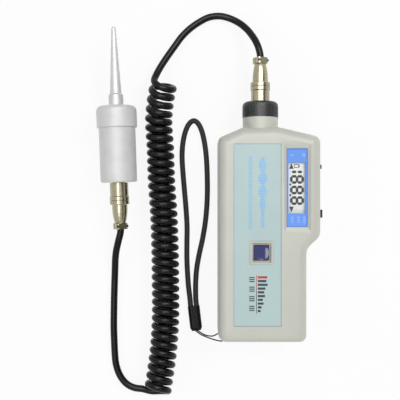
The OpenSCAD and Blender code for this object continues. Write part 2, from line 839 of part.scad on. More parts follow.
module collar_ring() {
  color([0.36, 0.37, 0.38]) along_neck(neck_top) difference() {
    rotate_extrude() polygon(concat(
      [[spigot_d / 2 + fit, 0], [ring_d / 2, 0]],
      [for (k = [0 : 4]) let (a = 90 * k / 4)
        [ring_d / 2 - ring_edge_r * (1 - cos(a)), ring_len - ring_edge_r * (1 - sin(a))]],
      [[ring_bore_d / 2, ring_len], [ring_bore_d / 2, spigot_len + fit],
        [spigot_d / 2 + fit, spigot_len + fit]]
    ));
    for (k = [0 : ring_ribs - 1]) rotate([0, 0, 360 * k / ring_ribs])
      translate([ring_d / 2, 0, rib_end]) rotate([0, 0, 45])
        cylinder(d = 2 * rib_depth, h = ring_len - 2 * rib_end - ring_edge_r, $fn = 4);
  }
}

// Socket parts, along the plug's axis
module jack(bottom) {
  color([0.72, 0.7, 0.62]) difference() {
    union() {
      rod(jack_d, bottom, jack_top);
      rod(jack_flange_d, jack_top - jack_flange_t, jack_top);
    }
    rod(jack_bore_d, jack_floor, jack_top + cut);
    rod(jack_rear_bore_d, bottom - cut, jack_floor + cut);
  }
}
module jack_insert(bottom) {
  color([0.15, 0.13, 0.12]) {
    rod(jack_rear_bore_d, insulator_bottom, jack_floor);
    rod(jack_bore_d, jack_floor, insulator_top);
  }
  color("gold") for (k = [0 : pin_count - 1]) rotate([0, 0, 360 * k / pin_count])
    translate([pin_r, 0, 0]) rod(pin_d, bottom - pin_tail, pin_top);
}
module jack_nut(z1) {
  color([0.7, 0.68, 0.6]) difference() {
    translate([0, 0, z1 - nut_t]) cylinder(d = nut_d, h = nut_t, $fn = 6);
    rod(jack_d, z1 - nut_t - cut, z1 + cut);
  }
}

// Plug parts, along the plug's axis
module plug_shell() {
  color([0.72, 0.7, 0.62]) rotate_extrude() polygon([
    [nose_bore_d / 2, -nose_len], [nose_d / 2, -nose_len], [nose_d / 2, 0], [plug_core_d / 2, 0],
    for (p = shell_bulge) [p[1] / 2, p[0]], [shell_end_d / 2, shell_len],
    [jacket_stop_d / 2, shell_len], [jacket_stop_d / 2, shell_len - wall],
    [shell_bore_d / 2, shell_len - 2 * wall], [shell_bore_d / 2, 2 * wall], [nose_bore_d / 2, 2 * wall]
  ]);
}
module plug_sleeve() {
  r = sleeve_d / 2;
  b = bead_d / 2;
  color([0.76, 0.74, 0.66]) rotate_extrude() polygon([
    [plug_core_d / 2 + fit, 0], [r - fit, 0], [r, fit], [r, sleeve_len], [b - bead_groove, sleeve_len],
    [b, sleeve_len + bead_groove], [b, sleeve_len + bead_len / 2 - bead_nick],
    [b - bead_nick, sleeve_len + bead_len / 2], [b, sleeve_len + bead_len / 2 + bead_nick],
    [b, sleeve_len + bead_len - bead_groove], [b - bead_groove, sleeve_len + bead_len],
    [plug_core_d / 2 + fit, sleeve_len + bead_len]
  ]);
}
module plug_insert() {
  color([0.15, 0.13, 0.12]) difference() {
    rod(nose_bore_d, nose_insert, 2 * wall);
    for (k = [0 : pin_count - 1]) rotate([0, 0, 360 * k / pin_count]) translate([pin_r, 0, 0])
      rod(pin_d + 2 * slip, insulator_top, pin_top + cut);
  }
}
module plug_clamp() {
  color([0.7, 0.68, 0.6]) translate([0, 0, shell_len]) difference() {
    intersection() {
      translate([-clamp_w / 2, -clamp_w / 2, 0]) cube([clamp_w, clamp_w, clamp_len]);
      cylinder(d = clamp_round_d, h = clamp_len);
    }
    translate([0, 0, -cut]) cylinder(d = clamp_bore_d, h = clamp_len + 2 * cut);
    translate([-clamp_w, -clamp_split / 2, -cut]) cube([2 * clamp_w, clamp_split, clamp_len + 2 * cut]);
    for (s = [-1, 1]) translate([s * clamp_screw_x, clamp_w, clamp_len / 2]) rotate([90, 0, 0])
      cylinder(d = clamp_screw_d, h = 2 * clamp_w);
    for (s = [-1, 1]) translate([s * clamp_screw_x, -clamp_w / 2 + clamp_screw_head_h + fit, clamp_len / 2])
      rotate([90, 0, 0]) cylinder(d = clamp_screw_head_d + fit, h = clamp_pocket_h);
  }
}
module plug_screws() {
  color([0.3, 0.28, 0.24]) for (s = [-1, 1])
    translate([s * clamp_screw_x, -clamp_w / 2 + clamp_screw_head_h + fit, shell_len + clamp_len / 2]) {
      rotate([90, 0, 0]) cylinder(d = clamp_screw_head_d, h = clamp_screw_head_h);
      rotate([-90, 0, 0]) cylinder(d = clamp_screw_d, h = clamp_screw_len);
    }
}

// Where the plugs and the probe lie
module at_meter_plug() {
  along_neck(plug_y) children();
}
module at_probe() {
  translate([probe_x, probe_y, probe_z]) rotate([-90 + probe_tilt, 0, probe_lean]) children();
}
module at_probe_plug() {
  at_probe() translate([0, 0, -body_len - slip]) rotate([180, 0, 0]) children();
}

module meter_jack() {
  at_meter_plug() jack(meter_jack_bottom);
}
module meter_jack_insert() {
  at_meter_plug() jack_insert(meter_jack_bottom);
}
module meter_jack_nut() {
  at_meter_plug() jack_nut(head_top - wall - plug_y);
}
module meter_plug_shell() {
  at_meter_plug() plug_shell();
}
module meter_plug_sleeve() {
  at_meter_plug() plug_sleeve();
}
module meter_plug_insert() {
  at_meter_plug() plug_insert();
}
module meter_plug_clamp() {
  at_meter_plug() rotate([0, 0, clamp_turn]) plug_clamp();
}
module meter_plug_screws() {
  at_meter_plug() rotate([0, 0, clamp_turn]) plug_screws();
}
module probe_plug_shell() {
  at_probe_plug() plug_shell();
}
module probe_plug_sleeve() {
  at_probe_plug() plug_sleeve();
}
module probe_plug_insert() {
  at_probe_plug() plug_insert();
}
module probe_plug_clamp() {
  at_probe_plug() rotate([0, 0, 180 - clamp_turn]) plug_clamp();
}
module probe_plug_screws() {
  at_probe_plug() rotate([0, 0, 180 - clamp_turn]) plug_screws();
}
module probe_jack() {
  at_probe_plug() translate([0, 0, -slip - jack_top]) jack(probe_jack_bottom);
}
module probe_jack_insert() {
  at_probe_plug() translate([0, 0, -slip - jack_top]) jack_insert(probe_jack_bottom);
}
module probe_jack_nut() {
  at_probe_plug() jack_nut(-slip - end_plate_t);
}

module case_screws() {
  color("silver") for (p = case_screw_places) translate([p[0], p[1], counterbore_z]) {
    translate([0, 0, -case_screw_head_h]) cylinder(d = case_screw_head_d, h = case_screw_head_h);
    cylinder(d = case_screw_d, h = case_screw_len);
  }
}

// Probe, along its own axis: zero is the cap's lower rim, the tip is ahead
module probe_cap() {
  edge = [for (k = [0 : 4]) let (a = 90 * k / 4)
    [cap_d / 2 - cap_edge_r * (1 - cos(a)), cap_len - cap_edge_r * (1 - sin(a))]];
  color([0.9, 0.91, 0.91]) at_probe() rotate_extrude() polygon(concat(
    [[bolt_d / 2, -cap_spigot], [body_bore_d / 2, -cap_spigot], [body_bore_d / 2, 0], [cap_d / 2, 0]],
    edge,
    [[tip_stud_d / 2, cap_len], [tip_stud_d / 2, cap_len - tip_stud_len - fit],
      [bolt_d / 2, cap_len - tip_stud_len - fit]]
  ));
}
module probe_tip() {
  z = cap_len + tip_base_len;
  end = z + cone_len;
  r = point_d / 2;
  color([0.93, 0.93, 0.93]) at_probe() rotate_extrude() polygon(concat(
    [[0, cap_len - tip_stud_len], [tip_stud_d / 2, cap_len - tip_stud_len], [tip_stud_d / 2, cap_len],
      [tip_base_d / 2, cap_len], [tip_base_d / 2, z - tip_edge],
      [tip_base_d / 2 - tip_edge, z], [cone_d / 2, z]],
    [for (k = [0 : 4]) let (a = 90 * k / 4) [r * cos(a), end - r * (1 - sin(a))]]
  ));
}
module probe_body() {
  edge = [for (k = [0 : 3]) let (a = 90 * k / 3)
    [body_d / 2 - body_edge_r * (1 - sin(a)), -body_len + body_edge_r * (1 - cos(a))]];
  color([0.8, 0.8, 0.8]) at_probe() rotate_extrude() polygon(concat(
    [[body_bore_d / 2, -body_len]], edge, [[body_d / 2, 0], [body_bore_d / 2, 0]]
  ));
}
module probe_end_plate() {
  color([0.78, 0.78, 0.78]) at_probe() difference() {
    rod(body_bore_d, -body_len, -body_len + end_plate_t);
    rod(jack_d, -body_len - cut, -body_len + end_plate_t + cut);
    rod(jack_flange_d + fit, -body_len - cut, -body_len + jack_flange_t);
    for (k = [0 : end_screw_count - 1])
      rotate([0, 0, 360 * k / end_screw_count]) translate([end_screw_r, 0, 0]) {
        rod(end_screw_d, -body_len - cut, -body_len + end_plate_t + cut);
        rod(end_screw_head_d + fit, -body_len - cut, -body_len + end_screw_head_h);
      }
  }
}
module probe_end_screws() {
  color([0.2, 0.2, 0.2]) at_probe() for (k = [0 : end_screw_count - 1])
    rotate([0, 0, 360 * k / end_screw_count]) translate([end_screw_r, 0, 0]) {
      rod(end_screw_head_d, -body_len, -body_len + end_screw_head_h);
      rod(end_screw_d, -body_len + end_screw_head_h - fit, -body_len + end_plate_t + fit);
    }
}
base_z = -cap_spigot - base_t;
piezo_z = base_z - 2 * piezo_t;
mass_z = piezo_z - mass_len;
module sensor_base() {
  color("goldenrod") at_probe() pipe(base_d, bolt_d + 2 * fit, base_z, -cap_spigot);
}
module piezo_rings() {
  color("khaki") at_probe() for (k = [0, 1])
    pipe(piezo_d, bolt_d + 2 * fit, piezo_z + k * piezo_t, piezo_z + (k + 1) * piezo_t - piezo_film * (1 - k));
}
module seismic_mass() {
  color("gray") at_probe() pipe(mass_d, bolt_d + 2 * fit, mass_z, piezo_z);
}
module sensor_bolt() {
  color("silver") at_probe() {
    rod(bolt_head_d, mass_z - bolt_head_h, mass_z);
    rod(bolt_d, mass_z - fit, -cap_spigot + bolt_reach);
  }
}

// Curly cord: the axis is a smooth curve through its points
function spline(p, u) =
  let (
    i = min(max(floor(u), 0), len(p) - 4), f = u - i, f2 = f * f, f3 = f2 * f,
    a = p[i], b = p[i + 1], c = p[i + 2], d = p[i + 3]
  )
  (2 * b + (c - a) * f + (2 * a - 5 * b + 4 * c - d) * f2 + (3 * b - a - 3 * c + d) * f3) / 2;
axis_probe = 0.05;
function axis_point(turn) = spline(coil_axis, turn / coil_step);
function axis_direction(turn) = unit(axis_point(turn + axis_probe) - axis_point(turn - axis_probe));
function ramped(turn) = turn < coil_ramp ? turn * turn / (2 * coil_ramp) + coil_ramp / 2 : turn;
function ramp_extra(turn) =
  turn < coil_ramp ? 2 * PI * coil_r * coil_ramp / 3 * pow(1 - turn / coil_ramp, 3) : 0;
function fade(s) = s <= 0 ? 1 : s >= 1 ? 0 : 1 - s * s * (3 - 2 * s);
function lean_at(turn) =
  coil_lean * fade(turn / coil_lean_turns) + coil_slant * (1 / 2 - turn / coil_turns);
function coil_outward(turn) =
  let (
    t = axis_direction(turn), lean = lean_at(turn), a = coil_enter + 180 * coil_ramp - 360 * ramped(turn),
    side = [-t[1], t[0], 0], up = [sin(lean) * t[0], sin(lean) * t[1], cos(lean)]
  )
  cos(a) * side + sin(a) * up;
function coil_point(turn) =
  let (p = axis_point(turn) - ramp_extra(turn) * axis_direction(turn))
  [p[0], p[1], cord_d / 2 + coil_r * cos(lean_at(turn))] + coil_r * coil_outward(turn);
coil_count = ceil(coil_end * coil_rings);
coil_body = [for (k = [0 : coil_count]) coil_point(coil_end * k / coil_count)];
coil_first = [axis_direction(0)[0], axis_direction(0)[1], 0];
coil_last = unit(coil_point(coil_end + axis_probe) - coil_point(coil_end - axis_probe));
coil_leave = unit([coil_last[0], coil_last[1], 0]);
coil_start_point = coil_body[0] - cord_d * coil_first;
coil_end_point = coil_body[coil_count] + cord_d * coil_leave;
coil_path = concat([coil_start_point], coil_body, [coil_end_point]);

// Least gap of the coil to itself: centre line to centre line of the next turns, less the diameter
function to_segment(p, a, b) =
  let (ab = b - a, s = min(max((p - a) * ab / (ab * ab), 0), 1)) norm(p - a - s * ab);
coil_gap = min([for (i = [0 : len(coil_path) - 7])
  for (j = [i + 5 : min(i + 12, len(coil_path) - 2)])
    to_segment(coil_path[i], coil_path[j], coil_path[j + 1])]) - cord_d;
echo(coil_gap = coil_gap);

probe_axis = [-sin(probe_lean) * cos(probe_tilt), cos(probe_lean) * cos(probe_tilt), sin(probe_tilt)];
probe_cord_end = [probe_x, probe_y, probe_z] - (body_len + slip + shell_len) * probe_axis;
arch_path = concat(arch_route, [coil_start_point]);
tail_path = concat([coil_end_point], tail_route, [probe_cord_end]);

module cord_arch() {
  color([0.22, 0.23, 0.22]) tube(arch_path, cord_d, fine_sides, [0, 1, 0], coil_first);
}
module cord_coil() {
  n = len(coil_path);
  color([0.16, 0.17, 0.16]) loft([for (i = [0 : n - 1]) let (
    t = i < 2 ? coil_first : i > n - 3 ? coil_leave : direction(coil_path, i, coil_first, coil_leave),
    turn = coil_end * min(max(i - 1, 0), coil_count) / coil_count
  ) ring_at(coil_path[i], t, coil_outward(turn), cord_d / 2, coil_sides)]);
}
module cord_tail() {
  color([0.18, 0.19, 0.18]) tube(tail_path, cord_d, fine_sides, coil_leave, probe_axis);
}

// Wrist strap
ferrule_axis = [sin(ferrule_turn), -cos(ferrule_turn), 0];
ferrule_side = [cos(ferrule_turn), sin(ferrule_turn), 0];
ferrule_start = [ferrule_top[0], ferrule_top[1], ferrule_t / 2];
ferrule_end = ferrule_start + ferrule_len * ferrule_axis;

module strap_loop() {
  path = concat([ferrule_start - strand_gap * ferrule_side], strap_route,
    [ferrule_start + strand_gap * ferrule_side]);
  color([0.1, 0.1, 0.1]) tube(path, strap_d, tube_sides, -ferrule_axis, ferrule_axis);
}
module strap_ferrule() {
  half_w = (ferrule_w - ferrule_t) / 2;
  color([0.08, 0.08, 0.08]) translate(ferrule_start) rotate([90, 0, ferrule_turn]) {
    hull() for (s = [-1, 1]) translate([s * half_w, 0, 0]) {
      cylinder(d = ferrule_t, h = ferrule_len - ferrule_round, $fn = 24);
      cylinder(d = ferrule_t - ferrule_round, h = ferrule_len, $fn = 24);
    }
  }
}
module strap_string() {
  path = concat([ferrule_end + string_gap * ferrule_side], string_route,
    [ferrule_end - string_gap * ferrule_side]);
  color([0.08, 0.08, 0.08]) tube(path, string_d, tube_sides, ferrule_axis, -ferrule_axis);
}

front_case();
rear_case();
battery_door();
battery_9v();
battery_snap();
battery_leads();
circuit_board();
board_chips();
board_screws();
lcd_glass();
lcd_holder();
lcd_contact_strips();
display_window();
label_panel();
button_cap();
button_plunger();
button_switch();
range_switch_knob();
range_switch_body();
function_switch_knob();
function_switch_body();
collar_ring();
meter_jack();
meter_jack_insert();
meter_jack_nut();
case_screws();
meter_plug_shell();
meter_plug_sleeve();
meter_plug_insert();
meter_plug_clamp();
meter_plug_screws();
cord_arch();
cord_coil();
cord_tail();
probe_plug_shell();
probe_plug_sleeve();
probe_plug_insert();
probe_plug_clamp();
probe_plug_screws();
probe_tip();
probe_cap();
probe_body();
probe_end_plate();
probe_end_screws();
probe_jack();
probe_jack_insert();
probe_jack_nut();
sensor_base();
piezo_rings();
seismic_mass();
sensor_bolt();
strap_loop();
strap_ferrule();
strap_string();
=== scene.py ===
"""Handheld vibration meter: finishes, cord, strap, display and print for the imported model."""

import math

import bmesh
import bpy
import numpy as np
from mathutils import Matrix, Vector


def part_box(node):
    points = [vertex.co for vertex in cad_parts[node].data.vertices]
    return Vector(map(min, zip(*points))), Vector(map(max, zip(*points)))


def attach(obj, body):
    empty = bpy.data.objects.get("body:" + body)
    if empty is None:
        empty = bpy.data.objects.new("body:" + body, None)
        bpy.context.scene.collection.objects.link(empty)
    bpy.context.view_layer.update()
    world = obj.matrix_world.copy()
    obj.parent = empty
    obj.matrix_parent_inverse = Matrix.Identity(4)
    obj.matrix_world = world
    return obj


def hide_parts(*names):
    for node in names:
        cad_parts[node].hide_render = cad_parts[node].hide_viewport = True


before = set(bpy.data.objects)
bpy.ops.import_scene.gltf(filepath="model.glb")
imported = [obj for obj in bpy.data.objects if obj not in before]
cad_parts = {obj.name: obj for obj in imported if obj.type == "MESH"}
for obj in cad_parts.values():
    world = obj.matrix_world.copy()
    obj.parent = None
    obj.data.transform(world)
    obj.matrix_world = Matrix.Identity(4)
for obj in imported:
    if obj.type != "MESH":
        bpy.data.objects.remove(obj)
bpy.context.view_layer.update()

bl_info = {
    "name": "Handheld vibration meter",
    "version": (1, 0, 0),
    "blender": (4, 5, 0),
    "location": "View3D > Sidebar > Meter",
    "description": "Finishes, cords, strap, display and print of a handheld vibration meter",
    "category": "Object",
}

MM = 0.001


# Shader maths


class Value:
    """A number socket of a material, so that maths on it is written as an expression."""

    def __init__(self, look, socket):
        self.look = look
        self.socket = socket

    def math(self, operation, *values):
        return self.look.add("Math", {"operation": operation}, *values)

    def __add__(self, other):
        return self.math("ADD", self, other)

    def __sub__(self, other):
        return self.math("SUBTRACT", self, other)

    def __rsub__(self, other):
        return self.math("SUBTRACT", other, self)

    def __mul__(self, other):
        return self.math("MULTIPLY", self, other)

    def __truediv__(self, other):
        return self.math("DIVIDE", self, other)

    def __gt__(self, other):
        return self.math("GREATER_THAN", self, other)

    def __lt__(self, other):
        return self.math("LESS_THAN", self, other)

    def size(self):
        return self.math("ABSOLUTE", self)

    def sine(self):
        return self.math("SINE", self)

    def most(self, other):
        return self.math("MAXIMUM", self, other)

    def angle(self, other):
        """The angle, in radians, of a point this far up and other far across."""
        return self.math("ARCTAN2", self, other)

    def step(self, low, high, to_low=0.0, to_high=1.0):
        """A smooth step from to_low at low to to_high at high."""
        return self.look.add(
            "MapRange", {"interpolation_type": "SMOOTHSTEP"}, self, low, high, to_low, to_high
        )


def linear(red, green, blue):
    """A display colour, 0 to 255, as the linear colour that Blender takes."""

    def one(value):
        value /= 255
        return value / 12.92 if value <= 0.04045 else ((value + 0.055) / 1.055) ** 2.4

    return (one(red), one(green), one(blue), 1.0)


class Look:
    """A material with one Principled shader, and the maths that feeds it."""

    def __init__(self, name, color, roughness, metallic=0.0, **constants):
        self.material = bpy.data.materials.new(name)
        self.material.use_nodes = True
        self.tree = self.material.node_tree
        self.shader = self.tree.nodes["Principled BSDF"]
        self.color = color
        self.set("Base Color", color)
        self.set("Roughness", roughness)
        self.set("Metallic", metallic)
        for socket, value in constants.items():
            self.set(socket.replace("_", " ").title().replace("Ior", "IOR"), value)
        self.place = self.add("TexCoord", out="Object")

    def set(self, socket, value):
        target = self.shader.inputs[socket]
        if isinstance(value, Value):
            self.tree.links.new(value.socket, target)
        else:
            target.default_value = value

    def add(self, kind, settings=None, *inputs, out=0, **named):
        node = self.tree.nodes.new("ShaderNode" + kind)
        for key, value in (settings or {}).items():
            setattr(node, key, value)
        for key, value in list(enumerate(inputs)) + list(named.items()):
            if isinstance(value, Value):
                self.tree.links.new(value.socket, node.inputs[key])
            else:
                node.inputs[key].default_value = value
        return Value(self, node.outputs[out])

    def axis(self, letter):
        """Millimetres along one axis of the object."""
        return self.add("SeparateXYZ", None, self.place, out=letter) * 1000

    def noise(self, scale, detail=2.0):
        return self.add("TexNoise", None, Vector=self.place, Scale=scale, Detail=detail, out="Fac")

    def blend(self, factor, one, two):
        node = self.tree.nodes.new("ShaderNodeMix")
        node.data_type = "RGBA"
        for key, value in ((0, factor), (6, one), (7, two)):
            if isinstance(value, Value):
                self.tree.links.new(value.socket, node.inputs[key])
            else:
                node.inputs[key].default_value = value
        return Value(self, node.outputs[2])

    def vary(self, amount=0.06, scale=60.0):
        """Lighter and darker clouds over the base colour."""
        low = tuple(c * (1 - amount) for c in self.color[:3]) + (1.0,)
        high = tuple(min(1.0, c * (1 + amount)) for c in self.color[:3]) + (1.0,)
        self.clouds = self.blend(self.noise(scale, 4.0).step(0.3, 0.7), low, high)
        self.set("Base Color", self.clouds)

    def bump(self, height, strength=0.3, distance=0.0001):
        node = self.tree.nodes.new("ShaderNodeBump")
        node.inputs["Strength"].default_value = strength
        node.inputs["Distance"].default_value = distance
        self.tree.links.new(height.socket, node.inputs["Height"])
        self.tree.links.new(node.outputs[0], self.shader.inputs["Normal"])

    def scuffed(self, roughness, spread=0.08, scale=90.0):
        """Roughness that varies from place to place."""
        self.set("Roughness", self.noise(scale, 5.0) * (2 * spread) + (roughness - spread))


def moulded(
    name, color, roughness, grain=1400.0, strength=0.12, amount=0.03, scale=45.0, **constants
):
    """Fine-grained moulded or painted plastic, clouded by an amount at a scale."""
    look = Look(name, color, roughness, **constants)
    look.vary(amount, scale)
    look.scuffed(roughness, 0.06)
    look.bump(look.noise(grain, 3.0), strength, 0.00008)
    return look


def turned(name, color, roughness, axis, metallic=1.0, pitch=0.32, depth=0.10):
    """Metal turned on a lathe: fine rings along one axis, and clouds in its polish."""
    look = Look(name, color, roughness, metallic)
    look.vary(0.04, 120.0)
    look.scuffed(roughness, 0.05, 220.0)
    rings = (look.axis(axis) * (2 * math.pi / pitch)).sine()
    look.bump(rings * 0.35 + look.noise(900.0, 2.0) * 0.65, depth, 0.00003)
    return look


# Mesh helpers


def piece(name, verts, faces, look, body, smooth=None, replaces=(), uv=None):
    """A mesh piece that rides on a body; smooth is the angle under which edges are rounded."""
    mesh = bpy.data.meshes.new(name)
    mesh.from_pydata([tuple(v) for v in verts], [], faces)
    mesh.update()
    obj = bpy.data.objects.new(name, mesh)
    bpy.context.scene.collection.objects.link(obj)
    mesh.materials.append(look)
    if uv is not None:
        layer = mesh.uv_layers.new(name="run")
        for loop in mesh.loops:
            layer.data[loop.index].uv = uv[loop.vertex_index]
    if smooth is not None:
        mesh.shade_smooth()
        mesh.set_sharp_from_angle(angle=math.radians(smooth))
    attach(obj, body)
    if replaces:
        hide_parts(*replaces)
    return obj


def rounded_copy(node, name, look, body, angle=32):
    """A copy of a solid's mesh, joined up and shaded smooth, which stands for the solid."""
    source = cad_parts[node]
    bm = bmesh.new()
    bm.from_mesh(source.data)
    bmesh.ops.remove_doubles(bm, verts=bm.verts, dist=1e-6)
    bmesh.ops.dissolve_degenerate(bm, edges=bm.edges, dist=1e-7)
    verts = [v.co.copy() for v in bm.verts]
    faces = [[v.index for v in f.verts] for f in bm.faces]
    bm.free()
    obj = piece(name, verts, faces, look, body, smooth=angle, replaces=(node,))
    weighted = obj.modifiers.new("weighted", "WEIGHTED_NORMAL")
    weighted.keep_sharp = True
    weighted.weight = 80
    return obj


def curve_point(a, b, c, d, t):
    """The point at share t of the smooth curve from b to c, between its neighbours a and d."""
    return 0.5 * (
        2 * b + (c - a) * t + (2 * a - 5 * b + 4 * c - d) * t**2 + (3 * b - a - 3 * c + d) * t**3
    )


def between(points, steps):
    """A smooth curve through points, with steps points for each stretch."""
    p = [np.array(q, float) for q in points]
    p = [2 * p[0] - p[1]] + p + [2 * p[-1] - p[-2]]
    out = []
    for a, b, c, d in zip(p, p[1:], p[2:], p[3:]):
        out += [curve_point(a, b, c, d, k / steps) for k in range(steps)]
    out.append(p[-2])
    return out


def tube_mesh(path, radius, sides):
    """Verts, faces and run (length along, share round) of a closed tube that doesn't twist."""
    path = [np.array(p, float) for p in path]
    tangents = []
    for i in range(len(path)):
        ahead = path[min(i + 1, len(path) - 1)] - path[max(i - 1, 0)]
        tangents.append(ahead / np.linalg.norm(ahead))
    side = np.cross(tangents[0], [0, 0, 1.0])
    side /= np.linalg.norm(side)
    verts, run, along = [], [], 0.0
    for i, (p, t) in enumerate(zip(path, tangents)):
        side = side - t * side.dot(t)
        side /= np.linalg.norm(side)
        up = np.cross(side, t)
        if i:
            along += float(np.linalg.norm(p - path[i - 1]))
        for k in range(sides):
            a = 2 * math.pi * k / sides
            verts.append(p + radius * (math.cos(a) * side + math.sin(a) * up))
            run.append((along / MM, k / sides))
    faces = []
    for i in range(len(path) - 1):
        for k in range(sides):
            a, b = i * sides + k, i * sides + (k + 1) % sides
            faces.append((a, a + sides, b + sides, b))
    faces.append(tuple(range(sides)))
    faces.append(tuple(len(verts) - 1 - k for k in range(sides)))
    return verts, faces, run


def prisms(outlines, low, high):
    """Closed flat prisms over outlines in millimetres, from height low to height high in metres."""
    verts, faces = [], []
    for outline in outlines:
        area = sum(a[0] * b[1] - b[0] * a[1] for a, b in zip(outline, outline[1:] + outline[:1]))
        ring = outline if area > 0 else outline[::-1]
        n, start = len(ring), len(verts)
        verts += [(x * MM, y * MM, z) for z in (low, high) for x, y in ring]
        faces.append([start + n - 1 - k for k in range(n)])
        faces.append([start + n + k for k in range(n)])
        for k in range(n):
            ahead = (k + 1) % n
            faces.append([start + k, start + ahead, start + n + ahead, start + n + k])
    return verts, faces


# Cords, in millimetres: diameters and routes as in the part's source, the coil's turns, lean
# and slant, and how finely each line is drawn

CORD_D = 4.8
COIL_D = 19.3
COIL_AXIS = [
    (-55.6, 132.4), (-65.3, 109.2), (-69.6, 84.2), (-68.6, 60.6), (-67.8, 37.8), (-66.2, 14.8),
    (-65.4, -8.2), (-65.1, -31.1), (-65, -53.9), (-66.3, -76.6), (-69.5, -100.2), (-73.5, -125.3),
]
COIL_STEP = 4
POINTS_PER_TURN = 24
ROUTE_STEPS = 5
STRAP_STEPS = 6
HEADING_STEP = 0.05
COIL_TURNS = 36
COIL_ENTER = 210
COIL_RAMP = 0.6
COIL_LEAN = 16
COIL_LEAN_TURNS = 6
COIL_SLANT = 22
ARCH_ROUTE = [
    (0, 118.5, 15), (0, 124.3, 15), (-1.1, 129.4, 14.4), (-2.8, 134.2, 12.8), (-5.3, 139.1, 10.2),
    (-8.6, 144, 7.4), (-13.2, 148.6, 4.9), (-19.8, 152.5, 3.2), (-27.3, 154.5, 2.5),
    (-35, 153.6, 2.5), (-42.2, 150, 2.5), (-48.7, 145.3, 2.5), (-54.1, 139.9, 2.6),
    (-58.6, 134.3, 3.3), (-62.2, 129, 4.6),
]
# The arch runs into the coil's first turn through these points, in place of its last two,
# and meets the coil's line at that line's point number LEAD_END
LEAD_IN = [(-58.3, 134.1, 3.0), (-63.7, 126.1, 4.6), (-68.5, 118.3, 6.4), (-71.7, 111.8, 8.6)]
LEAD_END = 10
TAIL_ROUTE = [
    (-81.6, -107.2, 2.5), (-87.2, -106.4, 2.5), (-92.2, -104, 2.5), (-95.9, -100.1, 2.5),
    (-98.6, -95.1, 2.5), (-100.3, -89, 2.5), (-101, -82, 2.5), (-101.4, -73, 2.5),
    (-101.7, -63, 2.5), (-101.6, -52, 2.5), (-101.4, -41, 2.5), (-101.1, -31, 2.6),
    (-100.7, -23, 3.8), (-100.2, -15.5, 6), (-99.2, -9.4, 8.4), (-97.5, -2.8, 10.4),
    (-95.9, 4, 11.3),
]
STRAP_D = 3.7
STRAP_ROUTE = [
    (-48.3, -43.4, 1.9), (-49.2, -36, 1.9), (-49.9, -27, 1.9), (-50.4, -16, 1.9),
    (-50.4, -5, 1.9), (-50.3, 7, 1.9), (-51, 19, 1.9), (-52.1, 32, 1.9), (-53.2, 45, 1.9),
    (-53.8, 56, 1.9), (-53.2, 65.4, 1.9), (-51.5, 73.3, 1.9), (-48.9, 78.8, 1.9),
    (-45.6, 81.1, 1.9), (-42.4, 79, 1.9), (-39.9, 73.7, 1.9), (-38, 65.6, 1.9), (-36.8, 56, 1.9),
    (-36.2, 45, 1.9), (-36, 33, 1.9), (-36.4, 21, 1.9), (-37.5, 9.5, 1.9), (-39.4, -2, 1.9),
    (-41.6, -12, 1.9), (-43.4, -22, 1.9), (-44.2, -32, 1.9), (-44.2, -43.2, 1.9),
]
STRING_D = 0.9
STRING_ROUTE = [
    (-40.9, -67.6, 2.3), (-38, -69, 3.4), (-35, -69.4, 5.6), (-32.2, -68.8, 8.8),
    (-30.2, -67.4, 11.2), (-28.5, -66.4, 12), (-26.3, -66.4, 12), (-25.2, -67, 12),
    (-24.9, -68.6, 12), (-25, -70.7, 11.8), (-26.3, -71.8, 11.3), (-28.5, -71.8, 10),
    (-31.1, -71.6, 7.9), (-34.2, -71.2, 5), (-37.4, -70.4, 2.8), (-40.5, -69.2, 1.9),
]
FERRULE_TOP = (-45.7, -49, 2.5)
FERRULE_TURN = math.radians(6.7)
FERRULE_LEN = 17.2
FERRULE_AXIS = np.array([math.sin(FERRULE_TURN), -math.cos(FERRULE_TURN), 0])
FERRULE_SIDE = np.array([math.cos(FERRULE_TURN), math.sin(FERRULE_TURN), 0])

# In the ferrule: how far the strap's two strands and the string's two lie from its middle
# line, and how far they reach in

STRAP_SPACING = 0.2
STRAP_IN_FERRULE = 2
STRING_OFFSET = 0.7
STRING_IN_FERRULE = 1

# The probe lies on its cap, which stands a step beyond its body, and on its body's far end,
# so it tilts; its lean is how far it is turned on the table

PROBE_BODY_LEN = 37.6
PROBE_CAP_R = 13.8
PROBE_STEP = 1.3
PLATE_SLIP = 0.3
PLUG_LEN = 27.8
CORD_IN_PLUG = 2
PROBE_LEAN = math.radians(1.8)
PROBE_TILT = math.atan(PROBE_STEP / PROBE_BODY_LEN)
PROBE_START = np.array([-98.1, 75.1, PROBE_CAP_R * math.cos(PROBE_TILT)])
PROBE_AXIS = np.array(
    [
        -math.sin(PROBE_LEAN) * math.cos(PROBE_TILT),
        math.cos(PROBE_LEAN) * math.cos(PROBE_TILT),
        math.sin(PROBE_TILT),
    ]
)


